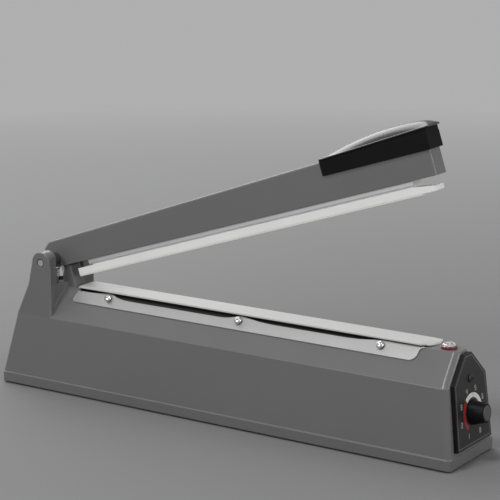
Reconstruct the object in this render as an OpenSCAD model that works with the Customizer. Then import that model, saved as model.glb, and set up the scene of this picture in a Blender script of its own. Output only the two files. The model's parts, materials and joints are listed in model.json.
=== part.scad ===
// Hand impulse sealer: a long tapered base, a hinged pressing arm, a heated platform and a timer dial.
// Base parts are drawn with X = 0 at the rear of the rim and Z = 0 under the rim.
// Arm parts are drawn closed, with the hinge axis as their origin, and are then swung open.

/* [Base casting] */
// Length over the rim
body_l = 550; // [520:1:620]
// Width over the rim
body_w = 90; // [86:1:110]
// Height of the rim band
rim_h = 10.8; // [8:0.2:14]
// How far the rim stands out from the walls
rim_step = 1.2; // [0.6:0.1:2]
// Radius of the front upright corners
corner_r = 7; // [5:0.5:10]
// Radius of the rear upright corners
rear_corner_r = 3.5; // [3:0.5:7]
// Height where the side walls meet the roof slopes
break_z = 77; // [72:0.5:84]
// Width at that height
break_w = 74.2; // [70:0.2:80]
// Height of the flat ridge
ridge_z = 106.2; // [100:0.2:112]
// Width of the flat ridge
ridge_w = 20.8; // [20:0.2:24]
// Wall thickness
wall = 2.6; // [2:0.1:3.2]
// Lean of the front face
front_lean = 6; // [3:0.5:9]
// Lean of the rear face
rear_lean = 14; // [10:0.5:15]

/* [Hinge] */
// Hinge axis behind the rear of the rim
hinge_x = 52.5; // [50:0.5:56]
// Radius of the round ear tops
ear_r = 11.5; // [10.5:0.1:13]
// Thickness of each ear
ear_t = 14; // [12:0.5:16]
// Diameter of the hinge pin
pin_d = 7; // [6:0.1:7.4]
// How far the arm stands open at rest
open_angle = 17.85; // [14:0.05:18.5]
// Half width of the guide tongue between the ears
tongue_half_w = 8.2; // [7:0.1:8.4]

/* [Arm] */
// Distance of the arm's front end behind the front of the ridge when closed
arm_back = 6.3; // [4:0.1:12]
// Width of the arm
arm_w = 21; // [20.6:0.1:22]
// Sheet thickness of the arm
arm_t = 1.5; // [1.2:0.1:1.6]
// Depth of the arm below the hinge axis
arm_drop = 9.5; // [9:0.1:10]
// Height of the arm above the axis, over the hinge
arm_rise_rear = 19.3; // [18:0.1:21]
// Height of the arm above the axis, at its front
arm_rise_front = 32.8; // [31:0.1:34]
// Length of the tail behind the axis
arm_tail = 14.6; // [13.5:0.1:16]

/* [Pressing bar] */
// Hinge axis to the underside of the silicone strip
presser_drop = 25.2; // [24.5:0.1:27]
// Start of the channel in front of the axis
channel_start = 41; // [38:0.5:50]
// Distance of the channel's front end behind the arm's
channel_back = 28; // [20:0.5:60]
// Depth of the channel below the arm
channel_depth = 5.6; // [4.5:0.1:7.2]
// Start of the pressing bar in front of the axis
bar_start = 24.5; // [24.5:0.5:30]
// Distance of the pressing bar's front end behind the arm's
bar_back = 6; // [4:0.5:12]
// Thickness of the silicone strip
silicone_t = 1.6; // [1.2:0.1:2]

/* [Platform] */
// Rear end of the heated platform
platform_start = 84; // [83:0.5:90]
// Gap between the heated platform and the lamp ring
platform_gap = 15.7; // [14:0.1:30]
// Width of the platform top
platform_w = 26; // [24:0.5:27]
// Height of the platform bar
platform_h = 3.2; // [3:0.1:3.6]
// Width of the heating ribbon
ribbon_w = 4; // [2:0.5:6]
// Thickness of the release cloth
cloth_t = 0.4; // [0.3:0.05:0.5]
// Gap left for the bag film when the arm is closed
seal_gap = 0.2; // [0.15:0.05:0.4]

/* [Clamp plates] */
// Thickness of the clamp plates
plate_t = 1.2; // [1:0.1:1.4]
// Height of a clamp plate up the slope
plate_h = 16; // [15:0.2:21]
// Depth of the scallops between the screws
scallop = 5.2; // [2:0.2:5.4]
// Diameter of the clamp screw heads
plate_screw_d = 8; // [7:0.2:9]

/* [Handle] */
// How far the handle stands out over the arm's front end
handle_over = 6; // [2:0.5:10]
// Length of the handle
handle_l = 129; // [124:1:132]
// Width over the handle skirt
handle_w = 25; // [24.8:0.1:27]
// Height of the handle crown above the hinge axis
crown_top = 44; // [43:0.2:46]

/* [Front panel] */
// Thickness of the front panel
panel_t = 4.5; // [3.5:0.1:6]
// Height of the dial centre
dial_z = 46.4; // [45:0.1:52]
// Outer radius of the dial arcs
dial_r = 19.1; // [17:0.1:20]
// Length of the knob
knob_l = 15; // [12:0.5:20]
// Diameter of the knob at its foot
knob_d = 24; // [21:0.5:26]
// Diameter of the knob at its end
knob_end_d = 18; // [16:0.5:20]
// Distance of the lamp behind the front of the ridge
lamp_back = 15.8; // [15:0.1:17]
// Diameter of the lamp ring
lamp_d = 16.6; // [14:0.2:18]

/* [Inside] */
// Width of the transformer core
core_w = 66; // [54:1:72]
// Height of the transformer core
core_h = 55; // [45:1:58]
// Stack thickness of the transformer core
core_t = 28; // [22:1:32]
// Distance of the transformer from the front of the rim
core_back = 200; // [160:1:260]
// Diameter of the mains cord that the inlet takes
cord_d = 7; // [6:0.2:8]
// Height of the inlet centre
inlet_z = 30; // [26:1:40]
// Height of the rubber feet
foot_h = 2; // [2:0.2:4]
// Diameter of the rubber feet
foot_d = 14; // [10:1:18]

/* [Hidden] */
$fn = 64;
hull_fn = 32;
eps = 0.01;
big = 400;

// Clearances: running fits, screws in their holes, flat parts on leaning seats, loose parts
fit = 0.05;
hole_gap = 0.1;
seat = 0.05;
loose = 0.3;

// Outline of the base
side_slope = (body_w / 2 - rim_step - break_w / 2) / (break_z - rim_h);
roof_run = (break_w - ridge_w) / 2;
roof_rise = ridge_z - break_z;
roof_l = norm([roof_run, roof_rise]);
roof_angle = atan2(roof_rise, roof_run);
function front_x(z) = body_l - rim_step - (z - rim_h) * tan(front_lean);
function rear_x(z) = rim_step + (z - rim_h) * tan(rear_lean);
function side_y(z) = body_w / 2 - rim_step - (z - rim_h) * side_slope;
function roof_y(z) = ridge_w / 2 + (ridge_z - z) * roof_run / roof_rise;
inner_ridge_z = ridge_z - wall;
inner_ridge_y = roof_y(inner_ridge_z) - wall / sin(roof_angle);
inner_break_z = break_z - wall * 0.43;
inner_break_y = side_y(inner_break_z) - wall * 1.01;

// Lamp, platform stack and hinge
lamp_x = front_x(ridge_z) - lamp_back;
platform_end = lamp_x - lamp_d / 2 - platform_gap;
flange_t = 1;
tape_t = 0.25;
ribbon_t = 0.25;
bar_top_z = ridge_z + platform_h;
ribbon_z = bar_top_z + tape_t;
cloth_z = ribbon_z + ribbon_t;
platform_top = cloth_z + cloth_t;
foot_half_w = ridge_w / 2 - 1;
hinge_z = platform_top + seal_gap + presser_drop;
ear_out = break_w / 2;
ear_in = ear_out - ear_t;
pocket_rear = hinge_x - 22;
tongue_rear = hinge_x + 8;
tongue_z = hinge_z - 5;
cross_wall_z = ridge_z + 4.8;
scoop_r = 28;

// Front face and dial
cap_d = knob_end_d - 3 - 2 * fit;
cap_out = 1.2;
tip_x = front_x(dial_z) + (panel_t + knob_l + cap_out) * cos(front_lean) + (cap_d / 2 - 1) * sin(front_lean);
inlet_out = 3.2;
inlet_d = cord_d + 7;
x_min = min(0, rear_x(inlet_z) - inlet_out * cos(rear_lean) - (inlet_d / 2 + 3) * sin(rear_lean));
x_mid = (tip_x + x_min) / 2;
pot_d = 17;
shaft_d = 6;
bush_d = 9;
nut_w = 12;
nut_t = 2.2;

// Arm
arm_l = front_x(ridge_z) - hinge_x - arm_back;
tube_d = pin_d + 4;
tail_x = -arm_tail + 5.6;
inner_half = arm_w / 2 - arm_t;
function arm_top(x) = arm_rise_rear + (arm_rise_front - arm_rise_rear) * x / arm_l;
channel_end = arm_l - channel_back;
channel_half = inner_half - 0.2;
channel_t = 1.6;
channel_web_z = -3;
channel_low = -arm_drop - channel_depth;
bar_top = channel_low - 1.1;
bar_low = -presser_drop + silicone_t;
bar_end = arm_l - bar_back;
handle_end = arm_l + handle_over;
handle_start = handle_end - handle_l;
bolt_xs = [channel_start + 25, (channel_start + handle_start) / 2, handle_start - 15];
skirt_low = 15.4;
skirt_top = 31.3;
shell_t = 2;
edge_rise = 5.6;
edge_tilt = atan2(edge_rise, handle_l);

// Clamp plates
plate_start = platform_start - 2;
plate_end = platform_end - 0.5;
plate_low = roof_l - plate_h - 0.4;
screw_xs = [for (i = [0 : 2]) plate_start + 45 + i * (plate_end - plate_start - 86) / 2];
thread_d = 3.4;

// Frames
module base_frame() {
    translate([-x_mid, 0, foot_h]) children();
}

module arm_frame() {
    base_frame()
        translate([hinge_x, 0, hinge_z])
            rotate([0, -open_angle, 0])
                children();
}

module panel_frame() {
    base_frame()
        translate([front_x(dial_z), 0, dial_z])
            rotate([0, -front_lean, 0])
                children();
}

module slope_frame() {
    base_frame()
        translate([0, -break_w / 2, break_z])
            rotate([roof_angle, 0, 0])
                children();
}

// Shared shapes
module block(x0, x1, y0, y1, z0, z1) {
    translate([x0, y0, z0]) cube([x1 - x0, y1 - y0, z1 - z0]);
}

module rod_y(d, y0, y1, x = 0, z = 0) {
    translate([x, y0, z]) rotate([-90, 0, 0]) cylinder(d = d, h = y1 - y0);
}

module rod_x(d, x0, x1, y = 0, z = 0) {
    translate([x0, y, z]) rotate([0, 90, 0]) cylinder(d = d, h = x1 - x0);
}

module side_prism(points, y0, y1) {
    translate([0, y1, 0]) rotate([90, 0, 0]) linear_extrude(y1 - y0) polygon(points);
}

module round_rect(x0, x1, half_w, r, rear_r = 0) {
    q = rear_r > 0 ? rear_r : r;
    translate([x0 + q, -half_w]) square([x1 - x0 - r - q, 2 * half_w]);
    translate([x0, -half_w + q]) square([q + eps, 2 * half_w - 2 * q]);
    translate([x1 - r - eps, -half_w + r]) square([r + eps, 2 * half_w - 2 * r]);
    for (side = [-1, 1]) {
        translate([x0 + q, side * (half_w - q)]) circle(q);
        translate([x1 - r, side * (half_w - r)]) circle(r);
    }
}

module tapered_body(inset, levels) {
    hull()
        for (level = levels, side = [-1, 1]) {
            z = level[0];
            r = level[2];
            q = min(r, rear_corner_r);
            for (end = [[rear_x(z) + inset + q, q], [front_x(z) - inset - r, r]])
                translate([end[0], side * (level[1] - end[1]), z])
                    cylinder(r = end[1], h = eps, $fn = hull_fn);
        }
}

module pan_screw(head_d, head_h, shank_d, shank_l) {
    difference() {
        intersection() {
            cylinder(d = head_d, h = head_h);
            translate([0, 0, head_h - head_d * 0.9]) sphere(head_d * 0.9);
        }
        for (a = [0, 90])
            rotate(a)
                translate([-head_d * 0.28, -head_d * 0.06, head_h * 0.5])
                    cube([head_d * 0.56, head_d * 0.12, head_h]);
    }
    translate([0, 0, -shank_l]) cylinder(d = shank_d, h = shank_l + eps);
}

module coil_spring(coil_r, wire_r, length, turns) {
    steps = 20;
    sides = 6;
    count = turns * steps;
    points = [for (i = [0 : count], j = [0 : sides - 1])
        let (a = 360 * i / steps,
             b = 360 * j / sides,
             r = coil_r + wire_r * cos(b))
        [r * cos(a), r * sin(a), length * i / count + wire_r * sin(b)]];
    faces = concat(
        [[for (j = [sides - 1 : -1 : 0]) j]],
        [[for (j = [0 : sides - 1]) count * sides + j]],
        [for (i = [0 : count - 1], j = [0 : sides - 1])
            let (k = (j + 1) % sides)
            [i * sides + j, i * sides + k, (i + 1) * sides + k, (i + 1) * sides + j]]);
    polyhedron(points, faces, convexity = 10);
}

// Base casting
module housing_outer() {
    tapered_body(0, [[rim_h - 1, side_y(rim_h - 1), corner_r],
                     [break_z, break_w / 2, corner_r],
                     [ridge_z - eps, ridge_w / 2, 4]]);
    linear_extrude(rim_h) round_rect(0, body_l, body_w / 2, corner_r + 1, rear_corner_r + 1);
}

module housing_inner() {
    tapered_body(wall, [[-1, side_y(0) - wall, corner_r - 1],
                        [inner_break_z, inner_break_y, corner_r - 2],
                        [inner_ridge_z, inner_ridge_y, 2]]);
}

ear_front = hinge_x + 15;
ear_foot = [rear_x(break_z), break_z - eps];
ear_knee = [hinge_x - 18.7, hinge_z - 25.2];
ear_lean = atan2(ear_knee[0] - ear_foot[0], ear_knee[1] - ear_foot[1]);

module ear_outline() {
    translate([hinge_x, hinge_z]) circle(ear_r);
    polygon([ear_foot, ear_knee, [hinge_x - ear_r, hinge_z], [hinge_x + ear_r, hinge_z],
             [ear_front, hinge_z - 23], [ear_front, ear_foot[1]]]);
}

// Waste of a rounded edge of the given radius and length, to be cut away
module edge_round(r, l) {
    difference() {
        translate([-1, -1, 0]) cube([r + 1, r + 1, l]);
        translate([r, r, -1]) cylinder(r = r, h = l + 2);
    }
}

module ears() {
    difference() {
        union() {
            for (y = [-ear_out, ear_in])
                intersection() {
                    translate([0, y + ear_t, 0]) rotate([90, 0, 0]) linear_extrude(ear_t) ear_outline();
                    linear_extrude(big)
                        translate([0, y + ear_t / 2])
                            round_rect(-big, ear_front, ear_t / 2, 4);
                }
            block(tongue_rear, ear_front - 1, -ear_in - 1, ear_in + 1, break_z, cross_wall_z);
        }
        for (side = [0, 1])
            mirror([0, side, 0])
                translate([ear_foot[0], -ear_out, ear_foot[1]])
                    rotate([0, ear_lean, 0])
                        translate([0, 0, -15]) edge_round(rear_corner_r - 0.5, 60);
        for (side = [-1, 1])
            translate([hinge_x + 10 + scoop_r, side * ear_in, break_z + 2])
                cylinder(r = scoop_r, h = big);
    }
    side_prism([[tongue_rear, break_z], [tongue_rear, tongue_z], [tongue_rear + 9, tongue_z],
                [tongue_rear + 15.5, hinge_z - 27], [tongue_rear + 17, ridge_z - 3],
                [tongue_rear + 17, break_z]], -tongue_half_w, tongue_half_w);
}

boss_d = 9;
boss_xs = [34, body_l - 30];
boss_y = side_y(0) - wall - 3.8;
bottom_t = 1.5;
foot_xs = [60, body_l - 60];
foot_y = body_w / 2 - 16;

module screw_bosses() {
    for (x = boss_xs, y = [-boss_y, boss_y])
        translate([x, y, bottom_t]) cylinder(d = boss_d, h = 22);
}

ribbon_xs = [platform_start + 8, platform_end - 8];
slot_w = ribbon_t + 2 * loose;

module ribbon_slots(z0, z1) {
    for (x = ribbon_xs)
        block(x - slot_w / 2, x + slot_w / 2, -ribbon_w / 2 - loose, ribbon_w / 2 + loose, z0, z1);
}

switch_y = arm_w / 2 - arm_t / 2;

module housing() {
    color("dimgray")
        base_frame()
            difference() {
                union() {
                    difference() {
                        union() {
                            housing_outer();
                            ears();
                        }
                        housing_inner();
                    }
                    screw_bosses();
                }
                block(pocket_rear, tongue_rear, -ear_in, ear_in, break_z, big);
                rod_y(pin_d + 2 * fit, -big, big, hinge_x, hinge_z);
                for (y = [-ear_out, ear_out])
                    rod_y(pin_d + 2, y - 1.5, y + 1.5, hinge_x, hinge_z);
                for (x = boss_xs, y = [-boss_y, boss_y])
                    translate([x, y, 0]) cylinder(d = thread_d, h = 18);
                rod_y(spring_pin_d + 2 * fit, -ear_in - pin_depth - loose, ear_in + pin_depth + loose,
                      spring_x, anchor_z);
                rod_y(stop_d + 2 * fit, -ear_in - pin_depth - loose, ear_in + pin_depth + loose,
                      stop_x, stop_z);
                ribbon_slots(inner_ridge_z - 1, ridge_z + 1);
                translate([lamp_x, 0, inner_ridge_z - 1]) cylinder(d = lamp_body_d + 2 * hole_gap, h = 10);
                for (side = [0, 1])
                    mirror([0, side, 0])
                        translate([0, -break_w / 2, break_z])
                            rotate([roof_angle, 0, 0])
                                for (x = screw_xs)
                                    translate([x, plate_screw_v, -8]) cylinder(d = thread_d, h = 20);
                translate([front_x(dial_z), 0, dial_z])
                    rotate([0, -front_lean, 0]) {
                        block(-wall * 2, 2, -lip_w / 2 - loose, lip_w / 2 + loose,
                              lip_low - loose, lip_high + loose);
                        rod_x(thread_d, -8, 4, 0, panel_screw_v);
                    }
                translate([rear_x(inlet_z), 0, inlet_z])
                    rotate([0, rear_lean, 0])
                        rod_x(inlet_d + 2 * hole_gap, -4, 8);
            }
}

module bottom_plate() {
    color("silver")
        base_frame()
            difference() {
                linear_extrude(bottom_t - seat)
                    round_rect(rear_x(0) + wall + loose + 0.8, front_x(0) - wall - loose - 0.8,
                               side_y(0) - wall - loose, corner_r);
                for (x = boss_xs, y = [-boss_y, boss_y])
                    translate([x, y, -1]) cylinder(d = thread_d, h = 4);
                for (x = bracket_xs)
                    translate([x, 0, -1]) cylinder(d = thread_d, h = 4);
                for (x = foot_xs, y = [-foot_y, foot_y])
                    translate([x, y, -1]) cylinder(d = 4.2, h = 4);
            }
}

module bottom_screws() {
    color("lightgray")
        base_frame()
            for (x = boss_xs, y = [-boss_y, boss_y])
                translate([x, y, 0])
                    mirror([0, 0, 1]) pan_screw(6, 1.2, thread_d - 2 * hole_gap, 12);
}

module rubber_feet() {
    color("black")
        base_frame()
            for (x = foot_xs, y = [-foot_y, foot_y])
                translate([x, y, 0]) {
                    difference() {
                        translate([0, 0, -foot_h]) cylinder(d = foot_d, h = foot_h);
                        translate([0, 0, -foot_h - 1]) cylinder(d = 5, h = 1.8);
                    }
                    cylinder(d = 4, h = bottom_t + 0.5);
                    translate([0, 0, bottom_t]) cylinder(d = 6, h = 1);
                }
}

inlet_l = 14;

module cable_inlet() {
    color("black")
        base_frame()
            translate([rear_x(inlet_z), 0, inlet_z])
                rotate([0, rear_lean, 0])
                    difference() {
                        union() {
                            rod_x(inlet_d, -eps, inlet_l - 2);
                            rod_x(inlet_d + 6, -inlet_out, -seat);
                        }
                        rod_x(cord_d + 2 * fit, -20, 20);
                    }
}

module inlet_nut() {
    color("black")
        base_frame()
            translate([rear_x(inlet_z), 0, inlet_z])
                rotate([0, rear_lean, 0])
                    difference() {
                        translate([wall / cos(rear_lean) + 0.3, 0, 0])
                            rotate([0, 90, 0]) cylinder(d = inlet_d + 7, h = 4, $fn = 6);
                        rod_x(inlet_d + 2 * fit, -20, 20);
                    }
}

// Hinge
clip_y = ear_in - 1.6;

module hinge_pin() {
    color("gainsboro")
        base_frame()
            difference() {
                rod_y(pin_d, -ear_out + 0.2, ear_out - 0.2, hinge_x, hinge_z);
                for (side = [-1, 1])
                    difference() {
                        rod_y(pin_d + 2, side * clip_y - 0.5, side * clip_y + 0.5, hinge_x, hinge_z);
                        rod_y(pin_d - 1.4, side * clip_y - 1, side * clip_y + 1, hinge_x, hinge_z);
                    }
            }
}

module pin_clips() {
    color("silver")
        base_frame()
            for (side = [-1, 1])
                difference() {
                    rod_y(pin_d + 5, side * clip_y - 0.4, side * clip_y + 0.4, hinge_x, hinge_z);
                    rod_y(pin_d - 1.3, side * clip_y - 1, side * clip_y + 1, hinge_x, hinge_z);
                    block(hinge_x - 1.6, hinge_x + 1.6, side * clip_y - 1, side * clip_y + 1,
                          hinge_z - 10, hinge_z);
                }
}

module pin_spacers() {
    color("black")
        base_frame()
            for (side = [0, 1])
                mirror([0, side, 0])
                    difference() {
                        rod_y(pin_d + 6, arm_w / 2 + 0.3, clip_y - 0.6, hinge_x, hinge_z);
                        rod_y(pin_d + 2 * fit, 0, 40, hinge_x, hinge_z);
                    }
}

module hinge_tube() {
    color("silver")
        arm_frame()
            difference() {
                rod_y(tube_d, -arm_w / 2, arm_w / 2);
                rod_y(pin_d + 2 * fit, -20, 20);
            }
}

// Studs under the arm's tail that stop it at rest
stop_d = 5;
stop_reach = -12;
stop_x = hinge_x + stop_reach * cos(open_angle) + (arm_drop + stop_d / 2 + hole_gap) * sin(open_angle);
stop_z = hinge_z + stop_reach * sin(open_angle) - (arm_drop + stop_d / 2 + hole_gap) * cos(open_angle);

module stop_studs() {
    color("gainsboro")
        base_frame()
            for (side = [0, 1])
                mirror([0, side, 0])
                    rod_y(stop_d, inner_half - 0.5, ear_in + pin_depth, stop_x, stop_z);
}

// Arm
module arm_profile(inset, low) {
    polygon([[-arm_tail + inset, low], [-arm_tail + inset, 12.1 - inset * 0.7],
             [-5 + inset * 0.7, arm_top(-5) - inset],
             [arm_l - inset, arm_top(arm_l) - inset],
             [arm_l - inset, low]]);
}

module arm() {
    color("dimgray")
        arm_frame()
            difference() {
                intersection() {
                    translate([0, arm_w / 2, 0])
                        rotate([90, 0, 0]) linear_extrude(arm_w) arm_profile(0, -arm_drop);
                    translate([0, 0, -50])
                        linear_extrude(150) round_rect(-arm_tail, arm_l, arm_w / 2, 3);
                }
                intersection() {
                    translate([0, inner_half, 0])
                        rotate([90, 0, 0]) linear_extrude(2 * inner_half) arm_profile(arm_t, -arm_drop - 1);
                    translate([0, 0, -50])
                        linear_extrude(150)
                            round_rect(-arm_tail + arm_t, arm_l - arm_t, inner_half, 1.5);
                }
                rod_y(tube_d + 2 * fit, -20, 20);
                rod_y(spring_pin_d + 2 * fit, -20, 20, tail_x, 0);
                for (x = handle_bolt_xs)
                    translate([x, 0, 0]) cylinder(d = thread_d, h = 60);
            }
}

// Tail spring that lifts the arm
spring_pin_d = 3;
coil_r = 3.6;
wire_r = 0.7;
anchor_z = 88;
pin_depth = 5;
spring_x = hinge_x + tail_x * cos(open_angle);
spring_top = hinge_z + tail_x * sin(open_angle);
coil_top = hinge_z - 14;
coil_low = anchor_z + 6;

module spring_pin() {
    color("silver")
        arm_frame()
            rod_y(spring_pin_d, -arm_w / 2, arm_w / 2, tail_x, 0);
}

module spring_hook(z0, z1) {
    translate([spring_x + coil_r, 0, z0]) cylinder(r = wire_r, h = z1 - z0);
}

module return_spring() {
    color("gainsboro")
        base_frame() {
            translate([spring_x, 0, coil_low]) coil_spring(coil_r, wire_r, coil_top - coil_low, 14);
            difference() {
                rod_y(2 * (spring_pin_d / 2 + loose + 2 * wire_r), -wire_r, wire_r, spring_x, spring_top);
                rod_y(spring_pin_d + 2 * loose, -2, 2, spring_x, spring_top);
            }
            difference() {
                rod_y(2 * (spring_pin_d / 2 + loose + 2 * wire_r), -wire_r, wire_r, spring_x, anchor_z);
                rod_y(spring_pin_d + 2 * loose, -2, 2, spring_x, anchor_z);
            }
            translate([spring_x, 0, anchor_z + spring_pin_d / 2 + loose])
                cylinder(r = wire_r, h = coil_low - anchor_z - 1);
            translate([spring_x, 0, coil_top - 1])
                cylinder(r = wire_r, h = spring_top - coil_top - spring_pin_d / 2 - loose + 1);
            for (z = [coil_low, coil_top])
                rod_x(2 * wire_r, spring_x, spring_x + coil_r, 0, z);
        }
}

module spring_anchor() {
    color("silver")
        base_frame()
            rod_y(spring_pin_d, -ear_in - pin_depth, ear_in + pin_depth, spring_x, anchor_z);
}

// Pressing channel and bar, hung on threaded spacers inside the arm
bolt_d = 4;
bolt_l = 16;

module channel() {
    color("lightgray")
        arm_frame()
            difference() {
                block(channel_start, channel_end, -channel_half, channel_half,
                      channel_low, channel_web_z);
                block(channel_start - 1, channel_end + 1,
                      -channel_half + channel_t, channel_half - channel_t,
                      channel_low - 1, channel_web_z - channel_t);
                for (x = bolt_xs)
                    translate([x, 0, -20]) cylinder(d = bolt_d + 2 * hole_gap, h = 30);
            }
}

module channel_spacers() {
    color("silver")
        arm_frame()
            for (x = bolt_xs)
                difference() {
                    translate([x, 0, channel_web_z])
                        cylinder(d = 8, h = arm_top(x - 4) - arm_t - channel_web_z - seat);
                    translate([x, 0, -20]) cylinder(d = bolt_d + 2 * hole_gap, h = 80);
                }
}

module channel_bolts() {
    color("silver")
        arm_frame()
            for (x = bolt_xs)
                translate([x, 0, channel_web_z - channel_t - seat]) {
                    translate([0, 0, -2.6]) cylinder(d = 7.6, h = 2.6, $fn = 6);
                    translate([0, 0, -eps]) cylinder(d = bolt_d, h = bolt_l);
                }
}

module presser_bar() {
    stem = channel_half - channel_t - 0.2;
    bar_l = bar_end - bar_start;
    color("whitesmoke")
        arm_frame()
            difference() {
                union() {
                    block(bar_start, bar_end, -channel_half, channel_half, bar_low, bar_top);
                    block(bar_start + 20, channel_end, -stem, stem,
                          bar_top - 1, bar_top + 3);
                }
                side_prism([[channel_end + 2, bar_top],
                            [bar_end + 1, bar_top - 2.6], [bar_end + 1, bar_top + 2],
                            [channel_end + 2, bar_top + 2]], -20, 20);
                for (x = [bar_start + 60, bar_start + bar_l / 2 + 40, bar_end - 70])
                    translate([x, 0, -40]) cylinder(d = 3.2, h = 40);
            }
}

module silicone_strip() {
    color("white")
        arm_frame()
            block(bar_start, lamp_x - lamp_d / 2 - hinge_x - 2.5, -channel_half + 1, channel_half - 1,
                  -presser_drop, bar_low);
}

// Handle
handle_screw_l = 7;
handle_bolt_xs = [handle_start + 30, handle_end - 30];
crown_r = 14;
side_r = 335;
crown_x = handle_start + 91;

module handle_edge(z0, z1, half_w) {
    side_prism([[handle_start, skirt_top + z0], [handle_end, skirt_top + edge_rise + z0],
                [handle_end, skirt_top + edge_rise + z1], [handle_start, skirt_top + z1]],
               -half_w, half_w);
}

module handle() {
    color([0.08, 0.08, 0.08])
        arm_frame()
            difference() {
                union() {
                    intersection() {
                        block(handle_start, handle_end, -handle_w / 2, handle_w / 2, skirt_low, skirt_top);
                        translate([0, 0, skirt_low - 1])
                            linear_extrude(40) round_rect(handle_start, handle_end, handle_w / 2, 3);
                    }
                    side_prism([[handle_start, skirt_top - 1], [handle_end, skirt_top - 1],
                                [handle_end, skirt_top + edge_rise], [handle_start, skirt_top]],
                               -handle_w / 2 + 0.5, handle_w / 2 - 0.5);
                    handle_edge(-1, 1, handle_w / 2 + 1);
                    intersection() {
                        translate([handle_start, 0, skirt_top - 5.2])
                            rotate([0, 90 - edge_tilt, 0])
                                translate([0, 0, -20]) cylinder(r = crown_r, h = handle_l + 60);
                        rod_y(2 * side_r, -30, 30, crown_x, crown_top - side_r, $fn = 720);
                        side_prism([[handle_start, skirt_top], [handle_end, skirt_top + edge_rise],
                                    [handle_end, 60], [handle_start, 60]], -30, 30);
                        translate([0, 0, skirt_low - 1])
                            linear_extrude(60) round_rect(handle_start, handle_end, handle_w / 2 + 1, 6);
                    }
                }
                side_prism([[handle_start - 1, skirt_low - 1], [handle_start - 1, arm_top(handle_start) + seat],
                            [arm_l + 1, arm_top(arm_l + 1) + seat], [arm_l + 1, skirt_low - 1]],
                           -arm_w / 2 - hole_gap, arm_w / 2 + hole_gap);
                for (x = handle_bolt_xs)
                    translate([x, 0, arm_top(x) - 4]) cylinder(d = thread_d, h = handle_screw_l + 3);
            }
}

module handle_screws() {
    color("silver")
        arm_frame()
            for (x = handle_bolt_xs)
                translate([x, 0, arm_top(x - 4) - arm_t - seat])
                    mirror([0, 0, 1]) pan_screw(7, 2.4, thread_d - 2 * hole_gap, handle_screw_l);
}

// Switch under the arm
switch_x = hinge_x + 5;
switch_top = hinge_z - 22.7;
switch_h = 14;
switch_hole_z = switch_top - switch_h + 4.4;
plunger_d = 5.4;
tip_d = 2.4;
tip_h = 2.8;
plunger_top = hinge_z - arm_drop / cos(open_angle) + (switch_x - tip_d / 2 - hinge_x) * tan(open_angle)
    - hole_gap;
switch_rear = switch_x - 17;
switch_front = switch_x + 2.8;

module near_side() {
    mirror([0, 1, 0]) base_frame() children();
}

module microswitch() {
    color([0.25, 0.25, 0.27])
        near_side()
            difference() {
                union() {
                    block(switch_rear, switch_front, switch_y - 5, switch_y + 5,
                          switch_top - switch_h, switch_top);
                    for (x = [switch_rear + 3, switch_x - 5, switch_x - 1])
                        block(x - 0.4, x + 0.4, switch_y - 2, switch_y + 2,
                              switch_top - switch_h - 4, switch_top - switch_h + eps);
                }
                translate([switch_x, switch_y, switch_top - 5])
                    cylinder(d = plunger_d + 2 * fit, h = 20);
                for (x = [switch_rear + 3, switch_x - 4.5])
                    rod_y(thread_d, 0, 40, x, switch_hole_z);
            }
}

module switch_plunger() {
    color("white")
        near_side()
            translate([switch_x, switch_y, 0]) {
                translate([0, 0, switch_top - 2.6])
                    cylinder(d = plunger_d, h = plunger_top - tip_h - switch_top + 2.6);
                translate([0, 0, plunger_top - tip_h - eps]) cylinder(d = tip_d, h = tip_h + eps);
            }
}

bracket_y = switch_y + 5 + seat;

module switch_bracket() {
    color("silver")
        near_side()
            difference() {
                union() {
                    block(switch_rear - 1, switch_front, bracket_y, bracket_y + 1.5,
                          switch_top - switch_h, switch_top - 1);
                    block(switch_rear - 1, switch_front, bracket_y, ear_in - seat,
                          switch_top - switch_h, switch_top - switch_h + 1.5);
                    block(switch_rear - 1, switch_front, ear_in - 1.5, ear_in - seat,
                          switch_top - switch_h, switch_top - 3);
                }
                for (x = [switch_rear + 3, switch_x - 4.5])
                    rod_y(thread_d, 0, 40, x, switch_hole_z);
            }
}

module switch_screws() {
    color("gainsboro")
        near_side()
            for (x = [switch_rear + 3, switch_x - 4.5])
                translate([x, bracket_y + 1.5 + seat, switch_hole_z])
                    rotate([-90, 0, 0]) pan_screw(4.6, 1.6, thread_d - 2 * hole_gap, 11);
}

// Heated platform
module platform_bar() {
    color([0.08, 0.08, 0.08])
        base_frame()
            difference() {
                union() {
                    block(platform_start, platform_end, -foot_half_w, foot_half_w,
                          ridge_z, bar_top_z - flange_t + eps);
                    block(platform_start, platform_end, -platform_w / 2, platform_w / 2,
                          bar_top_z - flange_t, bar_top_z);
                }
                ribbon_slots(ridge_z - 1, bar_top_z + 1);
            }
}

module insulation_tape() {
    color("tan")
        base_frame()
            difference() {
                block(platform_start + 1, platform_end - 1, -platform_w / 2 + 2, platform_w / 2 - 2,
                      bar_top_z, ribbon_z);
                ribbon_slots(ridge_z - 1, cloth_z + 1);
            }
}

module heating_ribbon() {
    color("silver")
        base_frame() {
            block(ribbon_xs[0] - ribbon_t / 2, ribbon_xs[1] + ribbon_t / 2,
                  -ribbon_w / 2, ribbon_w / 2, ribbon_z, cloth_z);
            for (x = ribbon_xs)
                block(x - ribbon_t / 2, x + ribbon_t / 2, -ribbon_w / 2, ribbon_w / 2,
                      inner_ridge_z - 8, ribbon_z + eps);
        }
}

module release_cloth() {
    flank = platform_w / 2 + seat;
    color("white")
        base_frame() {
            block(platform_start - cloth_t, platform_end, -flank - cloth_t, flank + cloth_t,
                  cloth_z, platform_top);
            for (side = [0, 1])
                mirror([0, side, 0])
                    block(platform_start - cloth_t, platform_end, -flank - cloth_t, -flank,
                          bar_top_z - flange_t + 0.2, cloth_z + eps);
        }
}

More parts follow.
